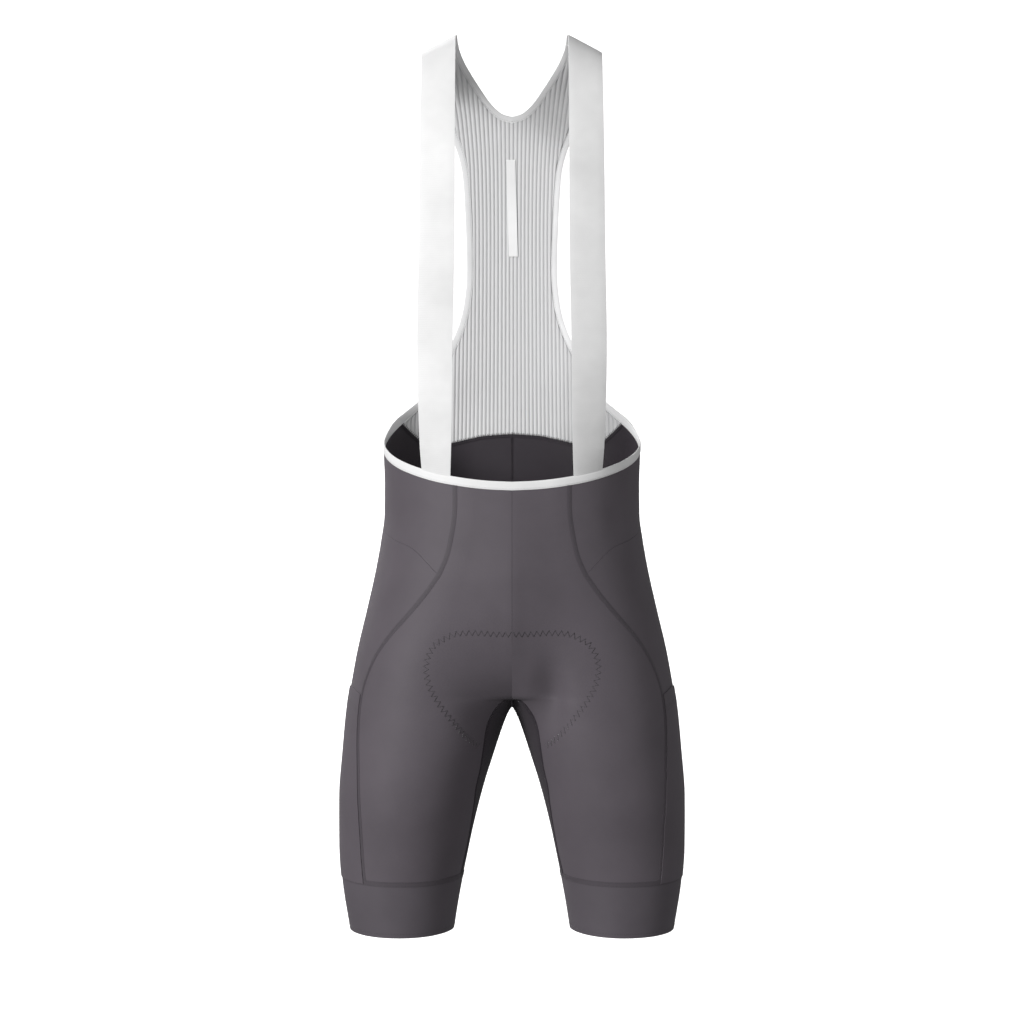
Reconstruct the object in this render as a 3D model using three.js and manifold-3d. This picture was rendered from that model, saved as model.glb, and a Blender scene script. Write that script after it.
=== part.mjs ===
// Cycling bib shorts, filled out as worn, as one group of sewn pieces.
// Millimetres, +Z up, the front faces -Y. The origin is midway between the tops of
// the two shoulder straps. "left" is the -X side, as seen from the front.

import * as THREE from 'three';
import { mergeVertices } from 'three/addons/utils/BufferGeometryUtils.js';
import Module from 'manifold-3d';

const wasm = await Module();
wasm.setup();

// Walls and seams
const SEAM_GAP = 0.3;
const KNIT_EDGE_GAP = 0.7;
const CORNER_GAP = 1.2;
const KNIT_WALL = 1.4;
const POCKET_WALL = 1.0;
const POCKET_INSET = 0.8;
const GRIPPER_WALL = 1.6;
const BINDING_WIDTH = 8.8;
const BINDING_WALL = 2.0;
const BINDING_RISE = 0.4;
const EDGE_RISE = 0.2;
const BAND_WIDTH = 7;
const BAND_WALL = 1.7;
const BIB_WALL = 1.1;
const RIB_PITCH = 4.2;
const RIB_HEIGHT = 0.7;
const STRAP_WALL = 1.4;
const LABEL = { width: 10, wall: 0.6, top: -107, bottom: -215, lean: 1.5 };

// Heights
const GRIPPER_Z = -877;
const HEM_Z = -931;
const FRONT_APEX_Z = -686;
const BACK_APEX_Z = -690;
const CROTCH_Z = -700;

// The gusset's middle line hangs below its two seams by "sag" at the crotch, is at least
// "firstDrop" under the crotch past its first row, and leaves the apexes at this slope.
const GUSSET = { sag: 12, firstDrop: 2, apexSlope: 0.7 };

// Steps along each seam. Pieces that share a seam share its points.
const STEPS = {
  centreFront: 13,
  gusset: 10,
  gussetAcross: 8,
  frontSeamUpper: 5,
  frontSeamLower: 18,
  centreBack: 8,
  frontAcross: 8,
  diagonal: 9,
  bibSeam: 6,
  gripperDown: 3,
  pocketTop: 8,
  pocketAcross: 8,
};

// Half a cross-section runs from the front middle (or the gusset's front seam) to the
// back middle (or the gusset's back seam). Its place is "a": 0 at the front end, 1 at
// the foremost point, 2 at the side, 3 at the rearmost point and 4 at the back end.
const BODY = [
  { z: -360, sideX: 135.0, sideY: 12, frontX: 35, frontY: -93, backX: 40, backY: 99 },
  { z: -412, sideX: 133.3, sideY: 8, frontX: 35, frontY: -95, backX: 40, backY: 91 },
  { z: -430, sideX: 134.8, sideY: 6, frontX: 35, frontY: -96, backX: 40, backY: 89 },
  { z: -470, sideX: 133.6, sideY: 4, frontX: 36, frontY: -98, backX: 42, backY: 88 },
  { z: -500, sideX: 133.9, sideY: 4, frontX: 38, frontY: -100, backX: 45, backY: 93 },
  { z: -530, sideX: 137.8, sideY: 5, frontX: 42, frontY: -102, backX: 50, backY: 102 },
  { z: -560, sideX: 143.3, sideY: 6, frontX: 48, frontY: -103, backX: 55, backY: 112 },
  { z: -600, sideX: 152.4, sideY: 8, frontX: 60, frontY: -101, backX: 62, backY: 123 },
  { z: -640, sideX: 162.0, sideY: 10, frontX: 75, frontY: -99, backX: 70, backY: 127 },
  { z: -670, sideX: 167.6, sideY: 10, frontX: 84, frontY: -98, backX: 76, backY: 124 },
  { z: -700, sideX: 172.6, sideY: 9, frontX: 90, frontY: -97, backX: 82, backY: 117 },
  { z: -745, sideX: 176.8, sideY: 7, frontX: 96, frontY: -95, backX: 90, backY: 105 },
  { z: -796, sideX: 180.2, sideY: 3, frontX: 104, frontY: -90, backX: 100, backY: 90 },
  { z: -846, sideX: 179.6, sideY: -3, frontX: 110, frontY: -80, backX: 108, backY: 72 },
  { z: -880, sideX: 177.0, sideY: -7, frontX: 113, frontY: -74, backX: 112, backY: 62 },
  { z: -931, sideX: 168.8, sideY: -10, frontX: 114, frontY: -68, backX: 114, backY: 52 },
];

// Front end of the half section; turn is the angle, in degrees, by which the section
// leaves it towards the front.
const FRONT_END = [
  { z: -360, x: 0, y: -93, turn: 0 },
  { z: -430, x: 0, y: -96, turn: 0 },
  { z: -500, x: 0, y: -100, turn: 0 },
  { z: -560, x: 0, y: -102.5, turn: 0 },
  { z: -590, x: 0, y: -100.5, turn: 0 },
  { z: -620, x: 0, y: -95, turn: 0 },
  { z: -645, x: 0, y: -87, turn: 3 },
  { z: -665, x: 0, y: -78, turn: 11 },
  { z: -678, x: 0, y: -70.5, turn: 20 },
  { z: -686, x: 0, y: -66, turn: 28 },
  { z: -687, x: 5.5, y: -65.6, turn: 31 },
  { z: -689, x: 9.5, y: -64.8, turn: 34 },
  { z: -692.5, x: 13.3, y: -63.6, turn: 38 },
  { z: -699, x: 17.4, y: -61.8, turn: 45 },
  { z: -709, x: 22.3, y: -60, turn: 52 },
  { z: -720, x: 25.6, y: -57.6, turn: 57 },
  { z: -743, x: 29.4, y: -52, turn: 61 },
  { z: -761, x: 32.2, y: -46.5, turn: 64 },
  { z: -783, x: 37, y: -40, turn: 68 },
  { z: -797, x: 38.6, y: -35, turn: 71 },
  { z: -842, x: 45.9, y: -25, turn: 75 },
  { z: -877, x: 53.6, y: -23, turn: 76 },
  { z: -931, x: 62, y: -23, turn: 76 },
];

// Back end of the half section, turned the same way.
const BACK_END = [
  { z: -360, x: 0, y: 99, turn: 0 },
  { z: -412, x: 0, y: 91, turn: 0 },
  { z: -430, x: 0, y: 89, turn: 0 },
  { z: -470, x: 0, y: 88, turn: 0 },
  { z: -500, x: 0, y: 93, turn: 0 },
  { z: -530, x: 0, y: 102, turn: 0 },
  { z: -560, x: 0, y: 111.5, turn: 0 },
  { z: -600, x: 0, y: 120, turn: 0 },
  { z: -640, x: 0, y: 118, turn: 4 },
  { z: -665, x: 0, y: 104, turn: 12 },
  { z: -680, x: 0, y: 88, turn: 20 },
  { z: -690, x: 0, y: 74, turn: 27 },
  { z: -691, x: 6, y: 73.6, turn: 30 },
  { z: -693, x: 10.5, y: 73, turn: 33 },
  { z: -696.5, x: 14.5, y: 72.2, turn: 37 },
  { z: -703, x: 19.5, y: 70.5, turn: 43 },
  { z: -713, x: 25, y: 68, turn: 50 },
  { z: -725, x: 28.5, y: 65, turn: 57 },
  { z: -743, x: 31.8, y: 60, turn: 62 },
  { z: -770, x: 37, y: 51, turn: 65 },
  { z: -797, x: 42, y: 41, turn: 67 },
  { z: -842, x: 50.5, y: 28, turn: 68 },
  { z: -877, x: 57.5, y: 20, turn: 68 },
  { z: -931, x: 65.5, y: 13, turn: 68 },
];

// Innermost line of each leg, from the crotch down.
const INNER_LEG = [
  { z: -700, x: 0, y: 2 },
  { z: -703.8, x: 2.1, y: 1.6 },
  { z: -712, x: 5.8, y: 1 },
  { z: -729, x: 12, y: 0 },
  { z: -754, x: 20.2, y: -1 },
  { z: -779, x: 28.2, y: -2 },
  { z: -804.6, x: 35.2, y: -4 },
  { z: -829.8, x: 41.3, y: -6 },
  { z: -855, x: 46.6, y: -8 },
  { z: -880, x: 51.7, y: -9 },
  { z: -905, x: 56.3, y: -10 },
  { z: -931, x: 60.4, y: -11 },
];

// Lower edge of the waist binding, on to the corner where the ribbed back begins.
const WAIST_SEAM = [
  { a: 0, z: -477 },
  { a: 0.6, z: -476 },
  { a: 1.19, z: -470 },
  { a: 1.5, z: -458.5 },
  { a: 1.8, z: -443.5 },
  { a: 2.0, z: -431 },
  { a: 2.15, z: -419 },
  { a: 2.35, z: -404 },
];

// Seam between the ribbed back and the shorts, in two stretches.
const BIB_SEAM_SIDE = [
  { a: 2.35, z: -404 },
  { a: 2.48, z: -415 },
  { a: 2.62, z: -427 },
];
const BIB_SEAM_BACK = [
  { a: 2.62, z: -427 },
  { a: 2.75, z: -425.5 },
  { a: 2.95, z: -419.2 },
  { a: 3.2, z: -415.8 },
  { a: 4, z: -413.5 },
];

// Seam from waist to gripper on the front of each leg, as the distance from the middle.
const FRONT_SEAM_UPPER = [
  { z: -471.5, x: 57 },
  { z: -498, x: 57 },
  { z: -521, x: 60 },
  { z: -543, x: 65 },
  { z: -561, x: 73 },
];
const FRONT_SEAM_LOWER = [
  { z: -561, x: 73 },
  { z: -583, x: 89 },
  { z: -603, x: 106 },
  { z: -621, x: 122 },
  { z: -645, x: 139 },
  { z: -672, x: 150.5 },
  { z: -690, x: 154.5 },
  { z: -728, x: 157 },
  { z: -778, x: 156 },
  { z: -827, x: 153.5 },
  { z: -877, x: 150 },
];

// Seam that climbs from the front seam over the hip to the ribbed back.
const DIAGONAL_SEAM = [
  { a: 1.42, z: -534 },
  { a: 1.6, z: -527 },
  { a: 1.8, z: -518.5 },
  { a: 2.0, z: -509 },
  { a: 2.3, z: -478 },
  { a: 2.5, z: -447 },
  { a: 2.62, z: -427 },
];

// Path of the upper part, from the back waist over the shoulder to the front waist.
// drop is the outward slope of the shoulder beyond SHOULDER_X, bow the curve across.
const SHOULDER_X = 56;
const SHOULDER_SEAM = 12.3;
const PATH = [
  { y: 88, z: -440, drop: 0, bow: -0.0018 },
  { y: 92, z: -400, drop: 0, bow: -0.0018 },
  { y: 99, z: -350, drop: 0, bow: -0.0016 },
  { y: 106, z: -300, drop: 0, bow: -0.0015 },
  { y: 111, z: -250, drop: 0, bow: -0.0015 },
  { y: 115, z: -200, drop: 0, bow: -0.0013 },
  { y: 117, z: -150, drop: 0, bow: -0.0012 },
  { y: 116, z: -105, drop: 0, bow: -0.001 },
  { y: 111, z: -66, drop: 0.08, bow: -0.0007 },
  { y: 100, z: -38, drop: 0.3, bow: -0.0004 },
  { y: 80, z: -19, drop: 0.48, bow: -0.0002 },
  { y: 53, z: -7, drop: 0.56, bow: 0 },
  { y: 26, z: -1.5, drop: 0.56, bow: 0 },
  { y: 0, z: 0.3, drop: 0.56, bow: 0 },
  { y: -27, z: -2.5, drop: 0.56, bow: 0 },
  { y: -54, z: -11, drop: 0.5, bow: 0 },
  { y: -79, z: -27, drop: 0.4, bow: 0.0003 },
  { y: -100, z: -54, drop: 0.28, bow: 0.0007 },
  { y: -114, z: -92, drop: 0.15, bow: 0.001 },
  { y: -122, z: -140, drop: 0.06, bow: 0.0012 },
  { y: -126, z: -190, drop: 0, bow: 0.0013 },
  { y: -126, z: -240, drop: 0, bow: 0.0013 },
  { y: -125, z: -290, drop: 0, bow: 0.0014 },
  { y: -122, z: -340, drop: 0, bow: 0.0016 },
  { y: -118, z: -390, drop: 0, bow: 0.002 },
  { y: -113, z: -430, drop: 0, bow: 0.0026 },
  { y: -106, z: -466, drop: 0, bow: 0.003 },
];

// Below the first height the bib follows the waist section, above the second its path.
const BIB_BLEND = { low: -400, high: -340 };

// Outer edge of the ribbed back's armhole band, from the waist corner to the shoulder.
const ARMHOLE_EDGE = [
  { x: 103.5, z: -379 },
  { x: 87, z: -350 },
  { x: 75, z: -328 },
  { x: 64, z: -306 },
  { x: 55.5, z: -281 },
  { x: 51, z: -252 },
  { x: 50, z: -225 },
  { x: 51, z: -190 },
  { x: 53, z: -150 },
  { x: 56, z: -118 },
  { x: 62, z: -96 },
  { x: 72, z: -71 },
  { x: 81, z: -48 },
  { x: 87, z: -35 },
  { x: 90.5, z: -27.5 },
  { x: 92.5, z: -21 },
];

// Upper edge of the neck band, from the middle to the shoulder.
const NECK_EDGE = [
  { x: 0, z: -60 },
  { x: 11, z: -56.8 },
  { x: 22.3, z: -47.5 },
  { x: 33.5, z: -33.2 },
  { x: 44.3, z: -19 },
  { x: 52, z: -9.5 },
  { x: 57.2, z: -2.2 },
];

// The ribs fan out towards the shoulders; t is the place along PATH.
const RIB_FAN = [
  { t: 0, fan: 1.04 },
  { t: 3, fan: 1.01 },
  { t: 5, fan: 1 },
  { t: 6.5, fan: 1.03 },
  { t: 8, fan: 1.13 },
  { t: 9, fan: 1.21 },
  { t: 10, fan: 1.28 },
  { t: 11, fan: 1.33 },
  { t: 12.3, fan: 1.38 },
];
const RIBS_EACH_SIDE = 28;
const BIB_ROWS = 25;

// Edges of each shoulder strap along PATH.
const STRAP = [
  { t: 12.3, inner: 57.5, outer: 93 },
  { t: 15, inner: 57.5, outer: 92 },
  { t: 17, inner: 56.8, outer: 91 },
  { t: 19.5, inner: 56.5, outer: 91.8 },
  { t: 21, inner: 57, outer: 92.6 },
  { t: 23, inner: 59, outer: 94.4 },
  { t: 24.5, inner: 60, outer: 93.2 },
  { t: 26, inner: 61.8, outer: 91.4 },
];
const STRAP_END_GAP = 0.5;
const STRAP_END_STEP = 0.7;
const STRAP_ROWS = 20;
const STRAP_ACROSS = 3;

const COLOURS = {
  knit: 0x5f5a60,
  gusset: 0x4b474c,
  gripper: 0x555057,
  white: 0xf0f0f0,
  ribbed: 0xd4d4d6,
};

// A smooth monotone curve through one column of a table.
function columnCurve(rows, key, value) {
  const sorted = [...rows].sort((p, q) => p[key] - q[key]);
  const xs = sorted.map((row) => row[key]);
  const ys = sorted.map((row) => row[value]);
  const steps = xs.slice(1).map((x, i) => (ys[i + 1] - ys[i]) / (x - xs[i]));
  const slopes = ys.map((_, i) => {
    if (i === 0) return steps[0];
    if (i === ys.length - 1) return steps[i - 1];
    const product = steps[i - 1] * steps[i];
    return product <= 0 ? 0 : (2 * product) / (steps[i - 1] + steps[i]);
  });
  return (x) => {
    const clamped = THREE.MathUtils.clamp(x, xs[0], xs[xs.length - 1]);
    let i = 0;
    while (i < xs.length - 2 && clamped > xs[i + 1]) i += 1;
    const h = xs[i + 1] - xs[i];
    const t = (clamped - xs[i]) / h;
    const rise = ys[i] * (1 + 2 * t) * (1 - t) ** 2 + ys[i + 1] * t * t * (3 - 2 * t);
    return rise + h * (slopes[i] * t * (1 - t) ** 2 - slopes[i + 1] * t * t * (1 - t));
  };
}

function tableCurves(rows, key, names) {
  return Object.fromEntries(names.map((name) => [name, columnCurve(rows, key, name)]));
}

const body = tableCurves(BODY, 'z', ['sideX', 'sideY', 'frontX', 'frontY', 'backX', 'backY']);
const frontEnd = tableCurves(FRONT_END, 'z', ['x', 'y', 'turn']);
const backEnd = tableCurves(BACK_END, 'z', ['x', 'y', 'turn']);
const innerLeg = tableCurves(INNER_LEG, 'z', ['x', 'y']);

const ROUND_HANDLE = 0.56;
const END_HANDLE = 0.37;

function bezier(p, q, r, s, t) {
  const u = 1 - t;
  return u * u * u * p + 3 * u * u * t * q + 3 * u * t * t * r + t * t * t * s;
}

// Point of the shorts' outer surface on the +X half.
function shellPoint(a, z) {
  const front = { x: frontEnd.x(z), y: frontEnd.y(z) };
  const fore = { x: body.frontX(z), y: body.frontY(z) };
  const side = { x: body.sideX(z), y: body.sideY(z) };
  const rear = { x: body.backX(z), y: body.backY(z) };
  const back = { x: backEnd.x(z), y: backEnd.y(z) };
  const part = Math.min(3, Math.floor(a));
  const t = a - part;
  let x;
  let y;
  if (part === 0) {
    const reach = END_HANDLE * Math.hypot(fore.x - front.x, fore.y - front.y);
    const turn = THREE.MathUtils.degToRad(frontEnd.turn(z));
    x = bezier(front.x, front.x + reach * Math.cos(turn), fore.x - reach, fore.x, t);
    y = bezier(front.y, front.y - reach * Math.sin(turn), fore.y, fore.y, t);
  } else if (part === 1) {
    x = bezier(fore.x, fore.x + ROUND_HANDLE * (side.x - fore.x), side.x, side.x, t);
    y = bezier(fore.y, fore.y, side.y - ROUND_HANDLE * (side.y - fore.y), side.y, t);
  } else if (part === 2) {
    x = bezier(side.x, side.x, rear.x + ROUND_HANDLE * (side.x - rear.x), rear.x, t);
    y = bezier(side.y, side.y + ROUND_HANDLE * (rear.y - side.y), rear.y, rear.y, t);
  } else {
    const reach = END_HANDLE * Math.hypot(rear.x - back.x, rear.y - back.y);
    const turn = THREE.MathUtils.degToRad(backEnd.turn(z));
    x = bezier(rear.x, rear.x - reach, back.x + reach * Math.cos(turn), back.x, t);
    y = bezier(rear.y, rear.y, back.y + reach * Math.sin(turn), back.y, t);
  }
  return new THREE.Vector3(x, y, z);
}

const NORMAL_STEP = { a: 0.02, z: 0.5, x: 0.5, t: 0.05 };

function shellNormal(a, z) {
  const step = NORMAL_STEP.a;
  const along = shellPoint(Math.min(4, a + step), z).sub(shellPoint(Math.max(0, a - step), z));
  const up = shellPoint(a, z + NORMAL_STEP.z).sub(shellPoint(a, z - NORMAL_STEP.z));
  return along.cross(up).normalize();
}

const HALVINGS = 40;

// The place a, between two places, where the section at height z has the distance x.
function placeAtX(x, z, from, to) {
  let low = from;
  let high = to;
  const rising = shellPoint(to, z).x > shellPoint(from, z).x;
  for (let i = 0; i < HALVINGS; i += 1) {
    const middle = (low + high) / 2;
    if (shellPoint(middle, z).x < x === rising) low = middle;
    else high = middle;
  }
  return (low + high) / 2;
}

// Even steps, measured on the surface, along a smooth curve through places {a, z}.
const A_SCALE = 60;
const SAMPLES_A_STEP = 20;
function shellSeam(places, count) {
  const curve = new THREE.CatmullRomCurve3(
    places.map((place) => new THREE.Vector3(place.a * A_SCALE, place.z, 0)),
    false,
    'centripetal',
  );
  const fine = SAMPLES_A_STEP * count;
  const samples = curve.getPoints(fine).map((p) => ({ a: p.x / A_SCALE, z: p.y }));
  const lengths = [0];
  for (let i = 1; i <= fine; i += 1) {
    const before = shellPoint(samples[i - 1].a, samples[i - 1].z);
    lengths.push(lengths[i - 1] + before.distanceTo(shellPoint(samples[i].a, samples[i].z)));
  }
  const seam = [];
  for (let k = 0; k <= count; k += 1) {
    const target = (k / count) * lengths[fine];
    let i = 1;
    while (i < fine && lengths[i] < target) i += 1;
    const t = (target - lengths[i - 1]) / (lengths[i] - lengths[i - 1]);
    seam.push({
      a: THREE.MathUtils.lerp(samples[i - 1].a, samples[i].a, t),
      z: THREE.MathUtils.lerp(samples[i - 1].z, samples[i].z, t),
    });
  }
  return seam;
}

function frontPlaces(rows) {
  return rows.map(({ x, z }) => ({ a: placeAtX(x, z, 0, 2), z }));
}

function straightPlaces(from, to, count) {
  const places = [];
  for (let i = 0; i <= count; i += 1) {
    places.push({
      a: THREE.MathUtils.lerp(from.a, to.a, i / count),
      z: THREE.MathUtils.lerp(from.z, to.z, i / count),
    });
  }
  return places;
}

// Seams of the +X half, guided by this many places where no table gives them
const GUIDES = 12;
const GUSSET_GUIDES = 96;
const waistFrontZ = WAIST_SEAM[0].z;
const bibSeamMiddle = BIB_SEAM_BACK[BIB_SEAM_BACK.length - 1];
const centreFront = shellSeam(
  straightPlaces({ a: 0, z: waistFrontZ }, { a: 0, z: FRONT_APEX_Z }, GUIDES),
  STEPS.centreFront,
);
const gussetFront = shellSeam(
  straightPlaces({ a: 0, z: FRONT_APEX_Z }, { a: 0, z: GRIPPER_Z }, GUSSET_GUIDES),
  STEPS.gusset,
);
const gussetBack = shellSeam(
  straightPlaces({ a: 4, z: BACK_APEX_Z }, { a: 4, z: GRIPPER_Z }, GUSSET_GUIDES),
  STEPS.gusset,
);
const centreBack = shellSeam(
  straightPlaces(bibSeamMiddle, { a: 4, z: BACK_APEX_Z }, GUIDES),
  STEPS.centreBack,
);

// Seams that run round the waist: their height is smooth in the distance round it.
const WAIST_LEVEL = -440;
const GIRTH_STEP = 0.05;
function waistGirth(a) {
  let length = 0;
  for (let from = 0; from < a; from += GIRTH_STEP) {
    const to = Math.min(a, from + GIRTH_STEP);
    length += shellPoint(from, WAIST_LEVEL).distanceTo(shellPoint(to, WAIST_LEVEL));
  }
  return length;
}
function heightRoundWaist(rows) {
  const girths = rows.map(({ a, z }) => ({ girth: waistGirth(a), z }));
  const height = columnCurve(girths, 'girth', 'z');
  return (a) => height(waistGirth(a));
}
const waistZ = heightRoundWaist(WAIST_SEAM);
const bibSeamBackZ = heightRoundWaist(BIB_SEAM_BACK);
const waistCorner = WAIST_SEAM[WAIST_SEAM.length - 1];
const frontSeamTop = (() => {
  const a = placeAtX(FRONT_SEAM_UPPER[0].x, FRONT_SEAM_UPPER[0].z, 0, 2);
  return { a, z: waistZ(a) };
})();
function placesRoundWaist(from, to, height) {
  return straightPlaces({ a: from, z: 0 }, { a: to, z: 0 }, 2 * GUIDES).map(({ a }) => ({
    a,
    z: height(a),
  }));
}
const waistFront = shellSeam(
  placesRoundWaist(0, frontSeamTop.a, waistZ),
  STEPS.frontAcross,
);
const waistSide = shellSeam(
  placesRoundWaist(frontSeamTop.a, waistCorner.a, waistZ),
  STEPS.diagonal,
);

const frontUpper = shellSeam(
  [frontSeamTop, ...frontPlaces(FRONT_SEAM_UPPER.slice(1))],
  STEPS.frontSeamUpper,
);
const frontLower = shellSeam(frontPlaces(FRONT_SEAM_LOWER), STEPS.frontSeamLower);
const junction = frontLower[0];
const gripperStart = frontLower[frontLower.length - 1];
const diagonal = shellSeam([junction, ...DIAGONAL_SEAM], STEPS.diagonal);
const bibSeamSide = shellSeam(BIB_SEAM_SIDE, STEPS.frontSeamUpper);
const bibSeamBack = shellSeam(
  placesRoundWaist(BIB_SEAM_BACK[0].a, bibSeamMiddle.a, bibSeamBackZ),
  STEPS.bibSeam,
);
const gripperFront = shellSeam(
  straightPlaces({ a: 0, z: GRIPPER_Z }, gripperStart, GUIDES),
  STEPS.frontAcross,
);
const gripperBack = shellSeam(
  straightPlaces(gripperStart, { a: 4, z: GRIPPER_Z }, GUIDES),
  STEPS.diagonal + STEPS.bibSeam,
);

// A grid of places that fills the field between four seams.
function fillBetween(top, bottom, left, right) {
  const rows = left.length - 1;
  const across = top.length - 1;
  const grid = [];
  for (let r = 0; r <= rows; r += 1) {
    const v = r / rows;
    const line = [];
    for (let c = 0; c <= across; c += 1) {
      const u = c / across;
      const blend = (key) =>
        (1 - v) * top[c][key] + v * bottom[c][key] +
        (1 - u) * left[r][key] + u * right[r][key] -
        (1 - u) * (1 - v) * top[0][key] - u * (1 - v) * top[across][key] -
        (1 - u) * v * bottom[0][key] - u * v * bottom[across][key];
      line.push({ a: blend('a'), z: blend('z') });
    }
    grid.push(line);
  }
  return grid;
}

function joined(...seams) {
  return seams.flatMap((seam, i) => (i === 0 ? seam : seam.slice(1)));
}

// A sheet is a grid of {point, normal}, rows from top to bottom.
function shellSheet(grid) {
  return grid.map((line) =>
    line.map(({ a, z }) => {
      const place = THREE.MathUtils.clamp(a, 0, 4);
      return { point: shellPoint(place, z), normal: shellNormal(place, z) };
    }),
  );
}

// Draws the edge of a sheet in by half the seam gap, square to each edge.
function drawIn(sheet, edges, amount = SEAM_GAP / 2) {
  const rows = sheet.length - 1;
  const across = sheet[0].length - 1;
  const at = (r, c) =>
    sheet[THREE.MathUtils.clamp(r, 0, rows)][THREE.MathUtils.clamp(c, 0, across)];
  return sheet.map((line, r) =>
    line.map(({ point, normal }, c) => {
      const moves = [];
      const squareTo = (before, after, inside) => {
        const move = after.point.clone().sub(before.point).cross(normal).normalize();
        const side = inside.point.clone().sub(point).dot(move) < 0 ? -1 : 1;
        moves.push(move.multiplyScalar(side));
      };
      if (edges.left && c === 0) squareTo(at(r - 1, c), at(r + 1, c), at(r, c + 1));
      if (edges.right && c === across) squareTo(at(r - 1, c), at(r + 1, c), at(r, c - 1));
      if (edges.top && r === 0) squareTo(at(r, c - 1), at(r, c + 1), at(r + 1, c));
      if (edges.bottom && r === rows) squareTo(at(r, c - 1), at(r, c + 1), at(r - 1, c));
      const shift = new THREE.Vector3();
      moves.forEach((move) => shift.add(move));
      if (moves.length === 2) shift.divideScalar(Math.max(0.35, 1 + moves[0].dot(moves[1])));
      return { point: point.clone().addScaledVector(shift, amount), normal };
    }),
  );
}

const ALL_EDGES = { left: true, right: true, top: true, bottom: true };

function signedVolume(points, triangles) {
  let volume = 0;
  triangles.forEach(([i, j, k]) => {
    volume += points[i].dot(points[j].clone().cross(points[k])) / 6;
  });
  return volume;
}

function geometryFrom(points, triangles) {
  const outward = signedVolume(points, triangles) > 0;
  const geometry = new THREE.BufferGeometry();
  const positions = points.flatMap((p) => [p.x, p.y, p.z]);
  const indices = triangles.flatMap(([i, j, k]) => (outward ? [i, j, k] : [i, k, j]));
  geometry.setAttribute('position', new THREE.Float32BufferAttribute(positions, 3));
  geometry.setIndex(indices);
  geometry.computeVertexNormals();
  return geometry;
}

// A closed wall from a sheet: its outer face is out by "rise", and it is "wall" thick.
// With loop the first column follows the last again.
function wallFrom(sheet, wall, rise = 0, loop = false) {
  const rows = sheet.length;
  const across = sheet[0].length;
  const points = [];
  [rise, rise - wall].forEach((offset) => {
    sheet.forEach((line) =>
      line.forEach(({ point, normal }) =>
        points.push(point.clone().addScaledVector(normal, offset))),
    );
  });
  const index = (side, r, c) => side * rows * across + r * across + (c % across);
  const triangles = [];
  const quad = (p, q, r, s) => triangles.push([p, q, r], [p, r, s]);
  const lastColumn = loop ? across : across - 1;
  for (let r = 0; r < rows - 1; r += 1) {
    for (let c = 0; c < lastColumn; c += 1) {
      quad(index(0, r, c), index(0, r + 1, c), index(0, r + 1, c + 1), index(0, r, c + 1));
      quad(index(1, r, c), index(1, r, c + 1), index(1, r + 1, c + 1), index(1, r + 1, c));
    }
    if (!loop) {
      const end = across - 1;
      quad(index(0, r, 0), index(1, r, 0), index(1, r + 1, 0), index(0, r + 1, 0));
      quad(index(0, r, end), index(0, r + 1, end), index(1, r + 1, end), index(1, r, end));
    }
  }
  for (let c = 0; c < lastColumn; c += 1) {
    const end = rows - 1;
    quad(index(0, 0, c), index(0, 0, c + 1), index(1, 0, c + 1), index(1, 0, c));
    quad(index(0, end, c), index(1, end, c), index(1, end, c + 1), index(0, end, c + 1));
  }
  return geometryFrom(points, triangles);
}

function mirrorSheet(sheet) {
  const flip = (v) => new THREE.Vector3(-v.x, v.y, v.z);
  return sheet.map((line) =>
    line.map(({ point, normal }) => ({ point: flip(point), normal: flip(normal) })),
  );
}

const group = new THREE.Group();
const CLOTH_ROUGHNESS = 0.7;

function addPiece(name, geometry, colour) {
  const material = new THREE.MeshStandardMaterial({
    color: colour,
    roughness: CLOTH_ROUGHNESS,
    metalness: 0,
  });
  const mesh = new THREE.Mesh(geometry, material);
  mesh.name = name;
  group.add(mesh);
}

// Adds one wall on each side of the middle.
function addPair(name, sheet, wall, rise, colour, loop = false) {
  addPiece(`${name}_right`, wallFrom(sheet, wall, rise, loop), colour);
  addPiece(`${name}_left`, wallFrom(mirrorSheet(sheet), wall, rise, loop), colour);
}

// Panels of the shorts
function addFrontPanels() {
  const grid = fillBetween(
    waistFront,
    gripperFront,
    joined(centreFront, gussetFront),
    joined(frontUpper, frontLower),
  );
  addPair('front_panel', drawIn(shellSheet(grid), ALL_EDGES), KNIT_WALL, 0, COLOURS.knit);
}

function addHipPanels() {
  const grid = fillBetween(waistSide, diagonal, frontUpper, bibSeamSide);
  addPair('hip_panel', drawIn(shellSheet(grid), ALL_EDGES), KNIT_WALL, 0, COLOURS.knit);
}

const backGrid = fillBetween(
  joined(diagonal, bibSeamBack),
  gripperBack,
  frontLower,
  joined(centreBack, gussetBack),
);

function addBackPanels() {
  addPair('back_panel', drawIn(shellSheet(backGrid), ALL_EDGES), KNIT_WALL, 0, COLOURS.knit);
}

// Each thigh pocket lies on the back panel, so it takes that panel's points.
function addPockets() {
  const pocket = drawIn(shellSheet(backGrid), ALL_EDGES)
    .slice(STEPS.pocketTop)
    .map((line) => line.slice(0, STEPS.pocketAcross + 1));
  const sheet = drawIn(pocket, { left: true, top: true, bottom: true }, POCKET_INSET);
  addPair('thigh_pocket', sheet, POCKET_WALL, SEAM_GAP + POCKET_WALL, COLOURS.knit);
}

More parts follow.
